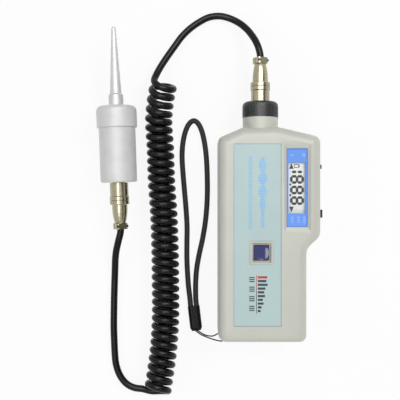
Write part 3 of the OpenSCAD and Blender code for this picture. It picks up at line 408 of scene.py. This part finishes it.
def coil_line():
    """The coil's centre line, and a point where its cord runs straight on to the tail."""
    axis = [np.array(p, float) for p in COIL_AXIS]
    radius = (COIL_D - CORD_D) / 2

    def place(turn):
        u = turn / COIL_STEP
        i = min(max(math.floor(u), 0), len(axis) - 4)
        return curve_point(*axis[i : i + 4], u - i)

    def heading(turn):
        v = place(turn + HEADING_STEP) - place(turn - HEADING_STEP)
        return v / np.linalg.norm(v)

    def point(turn):
        t = heading(turn)
        s = min(max(turn / COIL_LEAN_TURNS, 0), 1)
        fade = 1 - s * s * (3 - 2 * s)
        lean = math.radians(COIL_LEAN * fade + COIL_SLANT * (0.5 - turn / COIL_TURNS))
        ramped, extra = turn, 0.0
        if turn < COIL_RAMP:
            ramped = turn * turn / (2 * COIL_RAMP) + COIL_RAMP / 2
            extra = 2 * math.pi * radius * COIL_RAMP / 3 * (1 - turn / COIL_RAMP) ** 3
        a = math.radians(COIL_ENTER + 180 * COIL_RAMP - 360 * ramped)
        p = place(turn) - extra * t
        side = np.array([-t[1], t[0], 0])
        up = np.array([math.sin(lean) * t[0], math.sin(lean) * t[1], math.cos(lean)])
        centre = np.array([p[0], p[1], CORD_D / 2 + radius * math.cos(lean)])
        return centre + radius * (math.cos(a) * side + math.sin(a) * up)

    end = COIL_TURNS + (COIL_ENTER + 180 * COIL_RAMP + 90) / 360
    count = math.ceil(end * POINTS_PER_TURN)
    body = [point(end * k / count) for k in range(count + 1)]
    last = point(end + HEADING_STEP) - point(end - HEADING_STEP)
    last[2] = 0
    last /= np.linalg.norm(last)
    return body, body[-1] + CORD_D * last


def cord_line():
    """The whole cord in metres: arch, coil and tail on one smooth line."""
    body, end = coil_line()
    # A further point of the coil only shapes the curve at each join, and its stretch is cut off
    arch = between(ARCH_ROUTE[:-2] + LEAD_IN + [body[LEAD_END], body[LEAD_END + 3]], ROUTE_STEPS)
    stop = PROBE_START - (PROBE_BODY_LEN + PLATE_SLIP + PLUG_LEN - CORD_IN_PLUG) * PROBE_AXIS
    tail = between([body[-4], body[-1], end] + TAIL_ROUTE + [stop], ROUTE_STEPS)
    line = arch[: -ROUTE_STEPS - 1] + body[LEAD_END:-1] + tail[ROUTE_STEPS + 1 :]
    lowest = (-math.inf, -math.inf, CORD_D / 2)
    return [np.maximum(p, lowest) * MM for p in line]


# Case screws: places and the height of the head's outer face, as in the part's source

SCREW_PLACES = ((-23.2, -58.3), (23.7, -63.1), (-23.2, 58.41), (33.3, 65.15))
SCREW_Z = 1.6

# Ribs round the collar and the height of the neck's axis, as in the part's source, and the
# pitch of the switch knobs' ribs

COLLAR_RIBS = 48
NECK_Z = 15
KNOB_RIB_PITCH = 0.8

# Display window: its middle, and half sizes of its clear part and of its border up to the darker
# blue painted at its edge as shade from the recess walls

WINDOW_MIDDLE = (23.2, 33.4)
CLEAR_HALF = (5.7, 16.9)
BORDER_HALF = (6.4, 25.4)

# Camera over the meter, in millimetres, and half of its frame and its focal length in pixels

CAMERA_PLACE = (-41.2, 25.4, 480)
FRAME_HALF = 200
FOCAL = 680
SENSOR = 36


# Settings


def size_setting(name, default, words):
    return bpy.props.FloatProperty(
        name=name, description=words, default=default, min=0, unit="LENGTH"
    )


def color_setting(name, default, words):
    return bpy.props.FloatVectorProperty(
        name=name, description=words, default=linear(*default), size=4, min=0, max=1,
        subtype="COLOR",
    )


class MeterColors(bpy.types.PropertyGroup):
    front: color_setting("Front shell", (199, 200, 190), "Paint of the front shell")
    rear: color_setting("Rear shell", (194, 195, 184), "Paint of the rear shell and battery door")
    label: color_setting("Label", (180, 202, 202), "Ground of the label")
    print_blue: color_setting("Trace print", (126, 184, 238), "Blue vibration trace on the label")
    print_pale: color_setting("Scale print", (136, 192, 230), "Paler blue scale on the label")
    band: color_setting("Display border", (118, 166, 250), "Blue border printed under the window")
    glass: color_setting("Display", (242, 244, 240), "Ground of the liquid crystal display")
    button: color_setting("Button", (26, 35, 100), "Moulded colour of the measuring button")
    collar: color_setting("Collar", (30, 32, 33), "Moulded colour of the ribbed collar")
    cord: color_setting("Cord", (9, 10, 10), "Rubber of the cord")
    strap: color_setting("Strap", (16, 16, 17), "Braid of the wrist strap")
    nickel: color_setting("Plug", (174, 168, 143), "Plating of the plugs")
    probe: color_setting("Probe", (212, 213, 212), "Metal of the probe")


class MeterSizes(bpy.types.PropertyGroup):
    segment: size_setting("Segment width", 1.75 * MM, "Width of a display segment's bar")
    recess: size_setting("Screw recess", 3.4 * MM, "Length of the cross recess in the case screws")
    braid: size_setting("Braid pitch", 3.0 * MM, "Length of one turn of the strap's braid")


def colors():
    return bpy.context.scene.meter_colors


def sizes():
    return bpy.context.scene.meter_sizes


def give(look, *nodes):
    """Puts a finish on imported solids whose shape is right."""
    for node in nodes:
        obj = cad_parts[node]
        obj.data.materials.clear()
        obj.data.materials.append(look.material)


# Operators


# Stage: the world's light, the floor's height and half width in metres, its paint and glow

WORLD_LIGHT = 0.33
FLOOR_Z = -0.0002
FLOOR_HALF = 2
FLOOR_PAINT = (0.9, 0.9, 0.9, 1)
FLOOR_GLOW = 0.9

# Lamps: name, place, aim, width and length, watts, seen in reflections, lights matt surfaces

LAMPS = (
    ("key softbox", (0.48, 0.38, 0.75), (-0.03, 0.03, 0), (0.45, 0.45), 4.2, False, True),
    ("left fill", (-0.75, 0.1, 0.6), (-0.03, 0.03, 0), (0.5, 0.5), 2.2, False, True),
    ("low fill", (0.1, -0.8, 0.6), (-0.03, 0.03, 0), (0.5, 0.5), 2.7, False, True),
    ("overhead softbox", (0.07, 0.42, 0.80), (0.07, 0.42, 0), (0.70, 0.44), 5.5, True, False),
    (
        "left overhead softbox", (-0.22, -0.03, 0.80), (-0.22, -0.03, 0), (0.26, 0.46), 1.6, True,
        False,
    ),
)


def white_where_seen(tree, soft, white, output, share):
    """Mixes in a plain white where the camera, a reflection or a clear piece looks at a surface."""
    path = tree.nodes.new("ShaderNodeLightPath")
    seen = path.outputs["Is Camera Ray"]
    for name in ("Is Glossy Ray", "Is Transmission Ray"):
        most = tree.nodes.new("ShaderNodeMath")
        most.operation = "MAXIMUM"
        tree.links.new(seen, most.inputs[0])
        tree.links.new(path.outputs[name], most.inputs[1])
        seen = most.outputs[0]
    part = tree.nodes.new("ShaderNodeMath")
    part.operation = "MULTIPLY"
    part.inputs[1].default_value = share
    mix = tree.nodes.new("ShaderNodeMixShader")
    tree.links.new(seen, part.inputs[0])
    tree.links.new(part.outputs[0], mix.inputs[0])
    tree.links.new(soft.outputs[0], mix.inputs[1])
    tree.links.new(white.outputs[0], mix.inputs[2])
    tree.links.new(mix.outputs[0], tree.nodes[output].inputs[0])


class MeterStage(bpy.types.Operator):
    """Floor, light and camera"""

    bl_idname = "meter.stage"
    bl_label = "Stage"

    def execute(self, context):
        scene = context.scene
        scene.view_settings.view_transform = "Standard"
        camera = bpy.data.cameras.new("camera")
        camera.sensor_width = SENSOR
        camera.lens = SENSOR / 2 / (FRAME_HALF / FOCAL)
        view = bpy.data.objects.new("camera", camera)
        view.location = [c * MM for c in CAMERA_PLACE]
        scene.collection.objects.link(view)
        scene.camera = view

        floor = bpy.data.meshes.new("floor")
        signs = ((-1, -1), (1, -1), (1, 1), (-1, 1))
        corners = [(x * FLOOR_HALF, y * FLOOR_HALF, 0) for x, y in signs]
        floor.from_pydata(corners, [], [(0, 1, 2, 3)])
        ground = bpy.data.objects.new("floor", floor)
        ground.location.z = FLOOR_Z
        scene.collection.objects.link(ground)
        paint = bpy.data.materials.new("floor paint")
        paint.use_nodes = True
        shader = paint.node_tree.nodes["Principled BSDF"]
        shader.inputs["Base Color"].default_value = FLOOR_PAINT
        shader.inputs["Roughness"].default_value = 0.8
        glow = paint.node_tree.nodes.new("ShaderNodeEmission")
        white_where_seen(paint.node_tree, shader, glow, "Material Output", FLOOR_GLOW)
        floor.materials.append(paint)

        world = bpy.data.worlds.new("studio")
        world.use_nodes = True
        scene.world = world
        soft = world.node_tree.nodes["Background"]
        soft.inputs["Color"].default_value = (1, 1, 1, 1)
        soft.inputs["Strength"].default_value = WORLD_LIGHT
        white = world.node_tree.nodes.new("ShaderNodeBackground")
        white_where_seen(world.node_tree, soft, white, "World Output", 1.0)

        for name, place, aim, size, power, glossy, diffuse in LAMPS:
            lamp = bpy.data.lights.new(name, "AREA")
            lamp.shape = "RECTANGLE"
            lamp.size, lamp.size_y = size
            lamp.energy = power
            box = bpy.data.objects.new(name, lamp)
            box.location = place
            box.rotation_euler = (Vector(aim) - box.location).to_track_quat("-Z", "Y").to_euler()
            box.visible_glossy = glossy
            box.visible_diffuse = diffuse
            scene.collection.objects.link(box)

        card = bpy.data.meshes.new("dark card")
        # A leaning card at the right, which darkens one side of the metal's reflections
        near, far, low, high, half = 0.33, 0.53, 0.33, 0.56, 0.35
        corners = [(x, y, z) for x, z in ((near, high), (far, low)) for y in (-half, half)]
        card.from_pydata(corners, [], [(0, 1, 3, 2)])
        flag = bpy.data.objects.new("dark card", card)
        felt = bpy.data.materials.new("dark felt")
        felt.use_nodes = True
        matt = felt.node_tree.nodes["Principled BSDF"].inputs
        matt["Base Color"].default_value = (0.01, 0.01, 0.01, 1)
        matt["Roughness"].default_value = 0.9
        card.materials.append(felt)
        scene.collection.objects.link(flag)
        flag.visible_camera = flag.visible_diffuse = False
        flag.visible_shadow = flag.visible_transmission = False
        return {"FINISHED"}


class MeterCord(bpy.types.Operator):
    """Curly rubber cord from the meter's plug to the probe's plug"""

    bl_idname = "meter.cord"
    bl_label = "Curly cord"

    def execute(self, context):
        look = Look("cord rubber", tuple(colors().cord), 0.28, specular_ior_level=0.24)
        look.vary(0.25, 260.0)
        look.scuffed(0.28, 0.08, 400.0)
        look.bump(look.noise(1500.0, 3.0), 0.15, 0.0001)
        path = cord_line()
        verts, faces, run = tube_mesh(path, CORD_D / 2 * MM, 16)
        cord = piece(
            "curly_cord", verts, faces, look.material, "meter", smooth=60,
            replaces=("cord_arch", "cord_coil", "cord_tail"), uv=run,
        )
        return {"FINISHED"}


class MeterStrap(bpy.types.Operator):
    """Braided wrist strap with its ferrule and the thin string tied to the case"""

    bl_idname = "meter.strap"
    bl_label = "Wrist strap"

    def execute(self, context):
        look = Look("strap braid", tuple(colors().strap), 0.7)
        run = look.add("UVMap", {"uv_map": "run"})
        along = look.add("SeparateXYZ", None, run, out="X")
        round_ = look.add("SeparateXYZ", None, run, out="Y")
        pitch = sizes().braid / MM
        # Painted shade and highlight: following the weave's height, the grooves between strands are
        # painted near black and the crests lighter
        one = ((along / pitch + round_ * 3) * (2 * math.pi)).sine().size()
        two = ((along / pitch - round_ * 3) * (2 * math.pi)).sine().size()
        weave = one.most(two)
        lit_crest = tuple(c * 1.6 for c in colors().strap[:3]) + (1,)
        look.set("Base Color", look.blend(weave, (0.003, 0.003, 0.003, 1), lit_crest))
        look.bump(weave + look.noise(2500.0, 2.0) * 0.3, 0.8, 0.0003)
        start = np.array(FERRULE_TOP)
        end = start + FERRULE_LEN * FERRULE_AXIS
        aside = (STRAP_D / 2 + STRAP_SPACING) * FERRULE_SIDE
        inside = STRAP_IN_FERRULE * FERRULE_AXIS
        route = [start - aside + inside, start - aside] + STRAP_ROUTE
        route += [start + aside, start + aside + inside]
        path = [p * MM for p in between(route, STRAP_STEPS)]
        verts, faces, uv = tube_mesh(path, STRAP_D / 2 * MM, 16)
        loop = piece(
            "strap_braid_loop", verts, faces, look.material, "meter", 60, ("strap_loop",), uv
        )
        aside = STRING_OFFSET * FERRULE_SIDE
        inside = STRING_IN_FERRULE * FERRULE_AXIS
        route = [end + aside - inside, end + aside] + STRING_ROUTE
        route += [end - aside, end - aside - inside]
        path = [p * MM for p in between(route, STRAP_STEPS)]
        verts, faces, uv = tube_mesh(path, STRING_D / 2 * MM, 10)
        string = piece(
            "strap_tie_string", verts, faces, look.material, "meter", 60, ("strap_string",), uv
        )
        black = linear(10, 10, 11)
        ferrule = moulded("ferrule plastic", black, 0.32, 900.0, 0.05, specular_ior_level=0.15)
        give(ferrule, "strap_ferrule")
        return {"FINISHED"}


class MeterCase(bpy.types.Operator):
    """Front and rear shells and the battery door"""

    bl_idname = "meter.case"
    bl_label = "Case"

    def execute(self, context):
        front = moulded("front shell paint", tuple(colors().front), 0.42, amount=0.02)
        soil = front.noise(22.0, 6.0).step(0.55, 0.85) * front.noise(9.0)
        front.set("Base Color", front.blend(soil * 0.12, front.clouds, linear(168, 166, 150)))
        rear = moulded("rear shell paint", tuple(colors().rear), 0.45)
        front_shell = rounded_copy("front_case", "front_shell", front.material, "meter")
        rear_shell = rounded_copy("rear_case", "rear_shell", rear.material, "meter")
        door = rounded_copy("battery_door", "battery_door_cover", rear.material, "battery_door")
        return {"FINISHED"}


def screw_nodes(look):
    """Geometry nodes that set a screw with a cross recess on every vertex, its head down."""
    group = bpy.data.node_groups.new("meter screws", "GeometryNodeTree")
    face = group.interface
    face.new_socket("Places", in_out="INPUT", socket_type="NodeSocketGeometry")
    for name, value in (
        ("Head radius", 2.7), ("Head height", 2.0), ("Shank radius", 1.45), ("Shank length", 20.6),
        ("Recess width", 0.9), ("Recess length", 3.4), ("Recess depth", 1.1),
    ):
        socket = face.new_socket(name, in_out="INPUT", socket_type="NodeSocketFloat")
        socket.default_value = value * MM
        socket.subtype = "DISTANCE"
    face.new_socket("Screws", in_out="OUTPUT", socket_type="NodeSocketGeometry")
    given = group.nodes.new("NodeGroupInput").outputs
    link = group.links.new

    def node(kind, settings=None, **inputs):
        made = group.nodes.new(kind)
        for key, value in (settings or {}).items():
            setattr(made, key, value)
        for key, value in inputs.items():
            if isinstance(value, bpy.types.NodeSocket):
                link(value, made.inputs[key])
            else:
                made.inputs[key].default_value = value
        return made

    def scaled(socket, share):
        part = node("ShaderNodeMath", {"operation": "MULTIPLY"})
        link(socket, part.inputs[0])
        part.inputs[1].default_value = share
        return part.outputs[0]

    def lifted(mesh, height):
        up = node("ShaderNodeCombineXYZ", Z=height)
        return node("GeometryNodeTransform", Geometry=mesh, Translation=up.outputs[0]).outputs[0]

    def cylinder(name, height, sides):
        radius = given[f"{name} radius"]
        return node("GeometryNodeMeshCylinder", Vertices=sides, Radius=radius, Depth=given[height])

    head = cylinder("Head", "Head height", 32)
    shank = cylinder("Shank", "Shank length", 20)
    cross = node("GeometryNodeMeshBoolean", {"operation": "UNION"})
    # The bars of the cross differ a little in depth, so that no two of their faces coincide
    for x, y, share in (
        ("Recess length", "Recess width", 2.0), ("Recess width", "Recess length", 1.9),
    ):
        depth = scaled(given["Recess depth"], share)
        size = node("ShaderNodeCombineXYZ", X=given[x], Y=given[y], Z=depth)
        link(node("GeometryNodeMeshCube", Size=size.outputs[0]).outputs[0], cross.inputs["Mesh 2"])
    whole = node("GeometryNodeMeshBoolean", {"operation": "UNION"})
    link(lifted(head.outputs["Mesh"], scaled(given["Head height"], 0.5)), whole.inputs["Mesh 2"])
    # The shank starts inside the head, so that their faces don't coincide
    start = node("ShaderNodeMath", {"operation": "ADD"})
    link(scaled(given["Shank length"], 0.5), start.inputs[0])
    link(scaled(given["Head height"], 0.7), start.inputs[1])
    link(lifted(shank.outputs["Mesh"], start.outputs[0]), whole.inputs["Mesh 2"])
    cut = node("GeometryNodeMeshBoolean", {"operation": "DIFFERENCE"})
    link(whole.outputs[0], cut.inputs["Mesh 1"])
    link(cross.outputs[0], cut.inputs["Mesh 2"])
    spread = node("GeometryNodeInstanceOnPoints", Points=given["Places"], Instance=cut.outputs[0])
    solid = node("GeometryNodeRealizeInstances", Geometry=spread.outputs[0])
    finish = node("GeometryNodeSetMaterial", Geometry=solid.outputs[0], Material=look)
    link(finish.outputs[0], group.nodes.new("NodeGroupOutput").inputs[0])
    return group


class MeterScrews(bpy.types.Operator):
    """Case screws with a cross recess, seen from the back"""

    bl_idname = "meter.screws"
    bl_label = "Case screws"

    def execute(self, context):
        look = turned("case screw steel", linear(150, 148, 142), 0.3, "Z")
        places = bpy.data.meshes.new("screw places")
        places.from_pydata([(x * MM, y * MM, SCREW_Z * MM) for x, y in SCREW_PLACES], [], [])
        source = bpy.data.objects.new("screw places", places)
        context.scene.collection.objects.link(source)
        group = screw_nodes(look.material)
        repeat = source.modifiers.new("screws", "NODES")
        repeat.node_group = group
        items = [item for item in group.interface.items_tree if item.in_out == "INPUT"]
        settings = {item.name: item.identifier for item in items}
        repeat[settings["Recess length"]] = sizes().recess
        depsgraph = context.evaluated_depsgraph_get()
        mesh = bpy.data.meshes.new_from_object(source.evaluated_get(depsgraph), depsgraph=depsgraph)
        bpy.data.objects.remove(source)
        if not mesh.polygons:
            raise RuntimeError("the case screws came out empty")
        screws = bpy.data.objects.new("case_cross_screws", mesh)
        context.scene.collection.objects.link(screws)
        mesh.shade_smooth()
        mesh.set_sharp_from_angle(angle=math.radians(35))
        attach(screws, "meter")
        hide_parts("case_screws")
        return {"FINISHED"}


class MeterFinishes(bpy.types.Operator):
    """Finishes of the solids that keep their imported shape"""

    bl_idname = "meter.finishes"
    bl_label = "Other finishes"

    def execute(self, context):
        c = colors()
        nickel = turned("nickel plate", tuple(c.nickel), 0.27, "Y")
        give(
            nickel, "meter_jack", "meter_jack_nut", "probe_jack", "probe_jack_nut",
            "meter_plug_shell", "meter_plug_sleeve", "meter_plug_clamp",
            "probe_plug_shell", "probe_plug_sleeve", "probe_plug_clamp",
        )
        satin = turned("probe satin", tuple(c.probe), 0.5, "Y", 0.1, 0.4, 0.06)
        give(satin, "probe_cap", "probe_body", "probe_end_plate")
        give(turned("tip satin", linear(212, 213, 212), 0.42, "Y", 0.3, 0.3, 0.06), "probe_tip")
        give(
            turned("screw steel", linear(120, 112, 98), 0.3, "Z"),
            "board_screws", "probe_end_screws", "meter_plug_screws", "probe_plug_screws",
        )
        give(turned("sensor brass", linear(208, 172, 96), 0.3, "Y"), "sensor_base", "seismic_mass")
        give(moulded("sensor ceramic", linear(214, 208, 186), 0.4), "piezo_rings")
        give(turned("sensor steel", linear(190, 190, 190), 0.3, "Y"), "sensor_bolt")
        give(
            moulded("connector insulator", linear(44, 38, 34), 0.45),
            "meter_jack_insert", "probe_jack_insert", "meter_plug_insert", "probe_plug_insert",
        )
        collar = moulded("collar plastic", tuple(c.collar), 0.38, 900.0, 0.08, 0.1, 120.0)
        turn = collar.axis("X").angle(collar.axis("Z") - NECK_Z)
        # Painted sheen: paler streaks along the ribs, clouded by noise, stand in for the lamps'
        # reflections on the collar
        rib_sheen_mask = (turn * COLLAR_RIBS).sine() * 0.5 + 0.5
        painted_rib_sheen = rib_sheen_mask * collar.noise(160.0, 3.0).step(0.35, 0.65, 0.3, 1.0) * 0.75
        collar.set("Base Color", collar.blend(painted_rib_sheen, collar.clouds, linear(60, 62, 62)))
        give(collar, "collar_ring")
        give(
            moulded("black plastic", linear(28, 28, 30), 0.4),
            "battery_snap", "button_switch", "range_switch_body", "function_switch_body",
        )
        knob = Look("knob plastic", linear(22, 22, 24), 0.4)
        knob.vary(0.03, 45.0)
        knob.scuffed(0.4, 0.06)
        grips = (knob.axis("Y") * (2 * math.pi / KNOB_RIB_PITCH)).sine()
        knob.bump(grips * 0.8 + knob.noise(1400.0, 3.0) * 0.2, 0.8, 0.0002)
        give(knob, "range_switch_knob", "function_switch_knob")
        give(moulded("lead insulation", linear(60, 20, 20), 0.5), "battery_leads")
        give(moulded("battery jacket", linear(52, 56, 66), 0.3), "battery_9v")
        give(moulded("solder mask", linear(34, 96, 58), 0.3), "circuit_board")
        give(moulded("chip epoxy", linear(30, 30, 32), 0.6), "board_chips")
        give(moulded("holder plastic", linear(214, 214, 208), 0.5), "lcd_holder", "button_plunger")
        give(moulded("contact rubber", linear(214, 140, 156), 0.6), "lcd_contact_strips")
        button = Look("button plastic", tuple(c.button), 0.12)
        button.vary(0.12, 60.0)
        button.set("Coat Weight", 0.6)
        button.set("Coat Roughness", 0.04)
        give(button, "button_cap")
        return {"FINISHED"}


class MeterDisplay(bpy.types.Operator):
    """Display glass with its figures, and the window with its blue border"""

    bl_idname = "meter.display"
    bl_label = "Display"

    def execute(self, context):
        c = colors()
        glass = Look("display ground", tuple(c.glass), 0.3)
        glass.vary(0.03, 80.0)
        give(glass, "lcd_glass")
        window = Look("window with border", tuple(c.band), 0.06)
        across = (window.axis("X") - WINDOW_MIDDLE[0]).size()
        along = (window.axis("Y") - WINDOW_MIDDLE[1]).size()
        inside = (across < CLEAR_HALF[0]) * (along < CLEAR_HALF[1])
        # Painted shade: the border is darker blue near the window's edge, where the recess walls
        # shade it; noise adds tone that varies at random
        edge = (across > BORDER_HALF[0]).most(along > BORDER_HALF[1])
        tone_and_edge_shade = window.noise(60.0, 4.0).step(0.3, 0.7) * 0.12 + edge * 0.5
        band = window.blend(tone_and_edge_shade, tuple(c.band), linear(74, 112, 196))
        window.set("Base Color", window.blend(inside, band, linear(226, 228, 226)))
        window.set("Alpha", 1 - inside * 0.97)
        window.set("Specular IOR Level", 0.25)
        window.scuffed(0.08, 0.03, 60.0)
        give(window, "display_window")

        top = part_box("lcd_glass")[1][2]
        ink = Look("display ink", linear(6, 7, 9), 0.6)
        ink.vary(0.1, 300.0)
        verts, faces = prisms(display_marks(sizes().segment / MM), top, top + INK_THICKNESS)
        piece("display_figures", verts, faces, ink.material, "meter")

        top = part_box("display_window")[1][2]
        pale = Look("border print", linear(158, 192, 250), 0.4)
        pale.vary(0.06, 200.0)
        verts, faces = prisms(border_marks(), top, top + PRINT_THICKNESS)
        piece("display_border_print", verts, faces, pale.material, "meter")
        return {"FINISHED"}


class MeterLabel(bpy.types.Operator):
    """Label with a pale print of a vibration trace, a scale and a level bar"""

    bl_idname = "meter.label"
    bl_label = "Label"

    def execute(self, context):
        c = colors()
        look = Look("label ground", tuple(c.label), 0.5)
        look.vary(0.02, 50.0)
        look.scuffed(0.5, 0.05)
        look.bump(look.noise(1100.0, 2.0), 0.06, 0.00005)
        give(look, "label_panel")
        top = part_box("label_panel")[1][2]
        for name, color, outlines in (
            ("label_trace_print", tuple(c.print_blue), trace_marks()),
            ("label_scale_print", tuple(c.print_pale), scale_marks()),
            ("label_level_print", linear(46, 56, 62), level_marks(False)),
            ("label_level_red_print", linear(186, 50, 52), level_marks(True)),
        ):
            ink = Look(name.replace("_", " "), color, 0.5)
            ink.vary(0.05, 240.0)
            ink.bump(ink.noise(1500.0, 2.0), 0.05, 0.00003)
            verts, faces = prisms(outlines, top, top + PRINT_THICKNESS)
            piece(name, verts, faces, ink.material, "meter")
        return {"FINISHED"}


# Print and figures: the heights, in millimetres, at which they are placed from the
# photograph's frame, and their own thickness in metres

LABEL_Z = 29.5
WINDOW_Z = 28.5
FIGURES_Z = 26.6
PRINT_THICKNESS = 0.00002
INK_THICKNESS = 0.00003


def pixel(px, py, z):
    """A point of the photograph's frame, as x and y in millimetres at height z."""
    x, y, height = CAMERA_PLACE
    return (
        x + (px - FRAME_HALF) * (height - z) / FOCAL, y + (FRAME_HALF - py) * (height - z) / FOCAL,
    )


def mark(x0, y0, x1, y1, z):
    """A rectangle between two points of the photograph's frame, at height z."""
    a, b = pixel(x0, y1, z), pixel(x1, y0, z)
    return [(a[0], a[1]), (b[0], a[1]), (b[0], b[1]), (a[0], b[1])]


def border_marks():
    """Small plain bars in the blue border, beside the clear part of the window."""
    places = [
        (290.4, 154.4, 293.4, 155.4), (302.4, 153.4, 303.3, 156.6), (303.9, 153.4, 304.8, 156.6),
    ]
    for x in (291.2, 297.6, 303.2):
        places += [(x, 216.6 + 2.4 * k, x + 2.2, 217.8 + 2.4 * k) for k in range(3)]
    return [mark(*place, WINDOW_Z) for place in places]


def trace_marks():
    """A vibration trace: bars of swinging length on both sides of a middle line."""
    count, middle, first, pitch, width = 44, 262.7, 157.2, 1.62, 0.95
    marks = []
    for k in range(count):
        y = first + pitch * k
        swing = 1.5 + 3.2 * abs(math.sin(0.37 * k) * math.sin(0.071 * k + 0.5))
        marks.append(mark(middle - swing, y, middle + swing, y + width, LABEL_Z))
    return marks


def scale_marks():
    """A scale: a long tick after every four short ones."""
    count, root, short_end, long_end = 45, 248.6, 251.9, 253.6
    first, pitch, width = 156.4, 1.63, 0.9
    marks = []
    for k in range(count):
        y = first + pitch * k
        marks.append(mark(root, y, short_end if k % 5 else long_end, y + width, LABEL_Z))
    return marks


def level_marks(red):
    """A level meter: a line, bars that grow along it, and blocks beside it; its top is red."""
    heights = (9.4, 8.6, 9.8, 7.6, 6.4, 7.2, 5.0, 5.8, 3.8, 2.8)
    root, first, pitch, width = 257.8, 276.2, 3.75, 2.3
    marks = []
    for k, height in enumerate(heights):
        if (k < 1) == red:
            y = first + pitch * k
            marks.append(mark(root, y, root + height, y + width, LABEL_Z))
    top, foot = (275.2, 290.0) if red else (290.0, 313.5)
    marks.append(mark(256.2, top, 256.8, foot, LABEL_Z))
    if not red:
        for k in range(4):
            for m in range(3):
                y = 277.0 + 9.6 * k + 2.0 * m
                marks.append(mark(249.2, y, 254.6, y + 1.1, LABEL_Z))
    return marks


def display_marks(bar):
    """Outlines of the display's figures; their tops point to +X and they read down the window."""
    z = FIGURES_Z
    marks = []

    def box(x0, y0, x1, y1):
        marks.append(mark(x0, y0, x1, y1, z))

    def segment(x0, y0, x1, y1):
        """A bar with pointed ends between two points in millimetres."""
        h = bar / 2
        if abs(x1 - x0) > abs(y1 - y0):
            low_side = [(x0 + h, y0 - h), (x1 - h, y0 - h)]
            high_side = [(x1 - h, y0 + h), (x0 + h, y0 + h)]
        else:
            low_side = [(x0 + h, y0 + h), (x0 + h, y1 - h)]
            high_side = [(x0 - h, y1 - h), (x0 - h, y0 + h)]
        marks.append([(x0, y0)] + low_side + [(x1, y1)] + high_side)

    digits, points, one = (179.4, 190.0, 200.6), (184.5, 195.1), 171.9
    foot, top, half, gap, one_gap = 290.0, 304.0, 2.05, 0.1, 0.15
    low, high = pixel(foot, 0, z)[0] + bar / 2, pixel(top, 0, z)[0] - bar / 2
    middle = (low + high) / 2
    for py in digits:
        y = pixel(0, py, z)[1]
        a, b = y - half, y + half
        for x in (low, middle, high):
            segment(x, a + gap, x, b - gap)
        for s, t in ((low, middle), (middle, high)):
            for side in (a, b):
                segment(s + gap, side, t - gap, side)
    y = pixel(0, one, z)[1]
    segment(low + one_gap, y, middle - one_gap, y)
    segment(middle + one_gap, y, high - one_gap, y)
    for py in points:
        box(289.4, py - 1.0, 291.3, py + 1.0)
    # An arrow at each end
    for y0, y1 in ((168.8, 163.2), (206.6, 212.4)):
        a, b, tip = pixel(289.2, y0, z), pixel(293.7, y0, z), pixel(291.45, y1, z)
        marks.append([a, b, tip] if y1 < y0 else [b, a, tip])
    # A battery: two long sides, two short ones and the terminal, with a small gap between them
    box(294, 164.3, 299, 164.9)
    box(294, 167.2, 299, 167.8)
    box(294, 164.94, 294.6, 167.16)
    box(298.4, 164.94, 299, 167.16)
    box(299.04, 165.3, 299.8, 166.8)
    return marks


class MeterPanel(bpy.types.Panel):
    """Lists the meter's operators and settings"""

    bl_idname = "VIEW3D_PT_meter"
    bl_label = "Vibration meter"
    bl_space_type = "VIEW_3D"
    bl_region_type = "UI"
    bl_category = "Meter"

    def draw(self, context):
        for group in (context.scene.meter_sizes, context.scene.meter_colors):
            for name in group.__annotations__:
                self.layout.prop(group, name)
        for maker in OPERATORS:
            self.layout.operator(maker.bl_idname)


GROUPS = (MeterColors, MeterSizes)
OPERATORS = (
    MeterStage, MeterCord, MeterStrap, MeterCase, MeterScrews, MeterFinishes, MeterDisplay,
    MeterLabel,
)


def register():
    for cls in GROUPS + OPERATORS + (MeterPanel,):
        bpy.utils.register_class(cls)
    bpy.types.Scene.meter_colors = bpy.props.PointerProperty(type=MeterColors)
    bpy.types.Scene.meter_sizes = bpy.props.PointerProperty(type=MeterSizes)


def unregister():
    del bpy.types.Scene.meter_colors
    del bpy.types.Scene.meter_sizes
    for cls in reversed(GROUPS + OPERATORS + (MeterPanel,)):
        bpy.utils.unregister_class(cls)


def main():
    register()
    bpy.ops.meter.stage()
    bpy.ops.meter.cord()
    bpy.ops.meter.strap()
    bpy.ops.meter.case()
    bpy.ops.meter.screws()
    bpy.ops.meter.finishes()
    bpy.ops.meter.display()
    bpy.ops.meter.label()


if __name__ == "__main__":
    main()
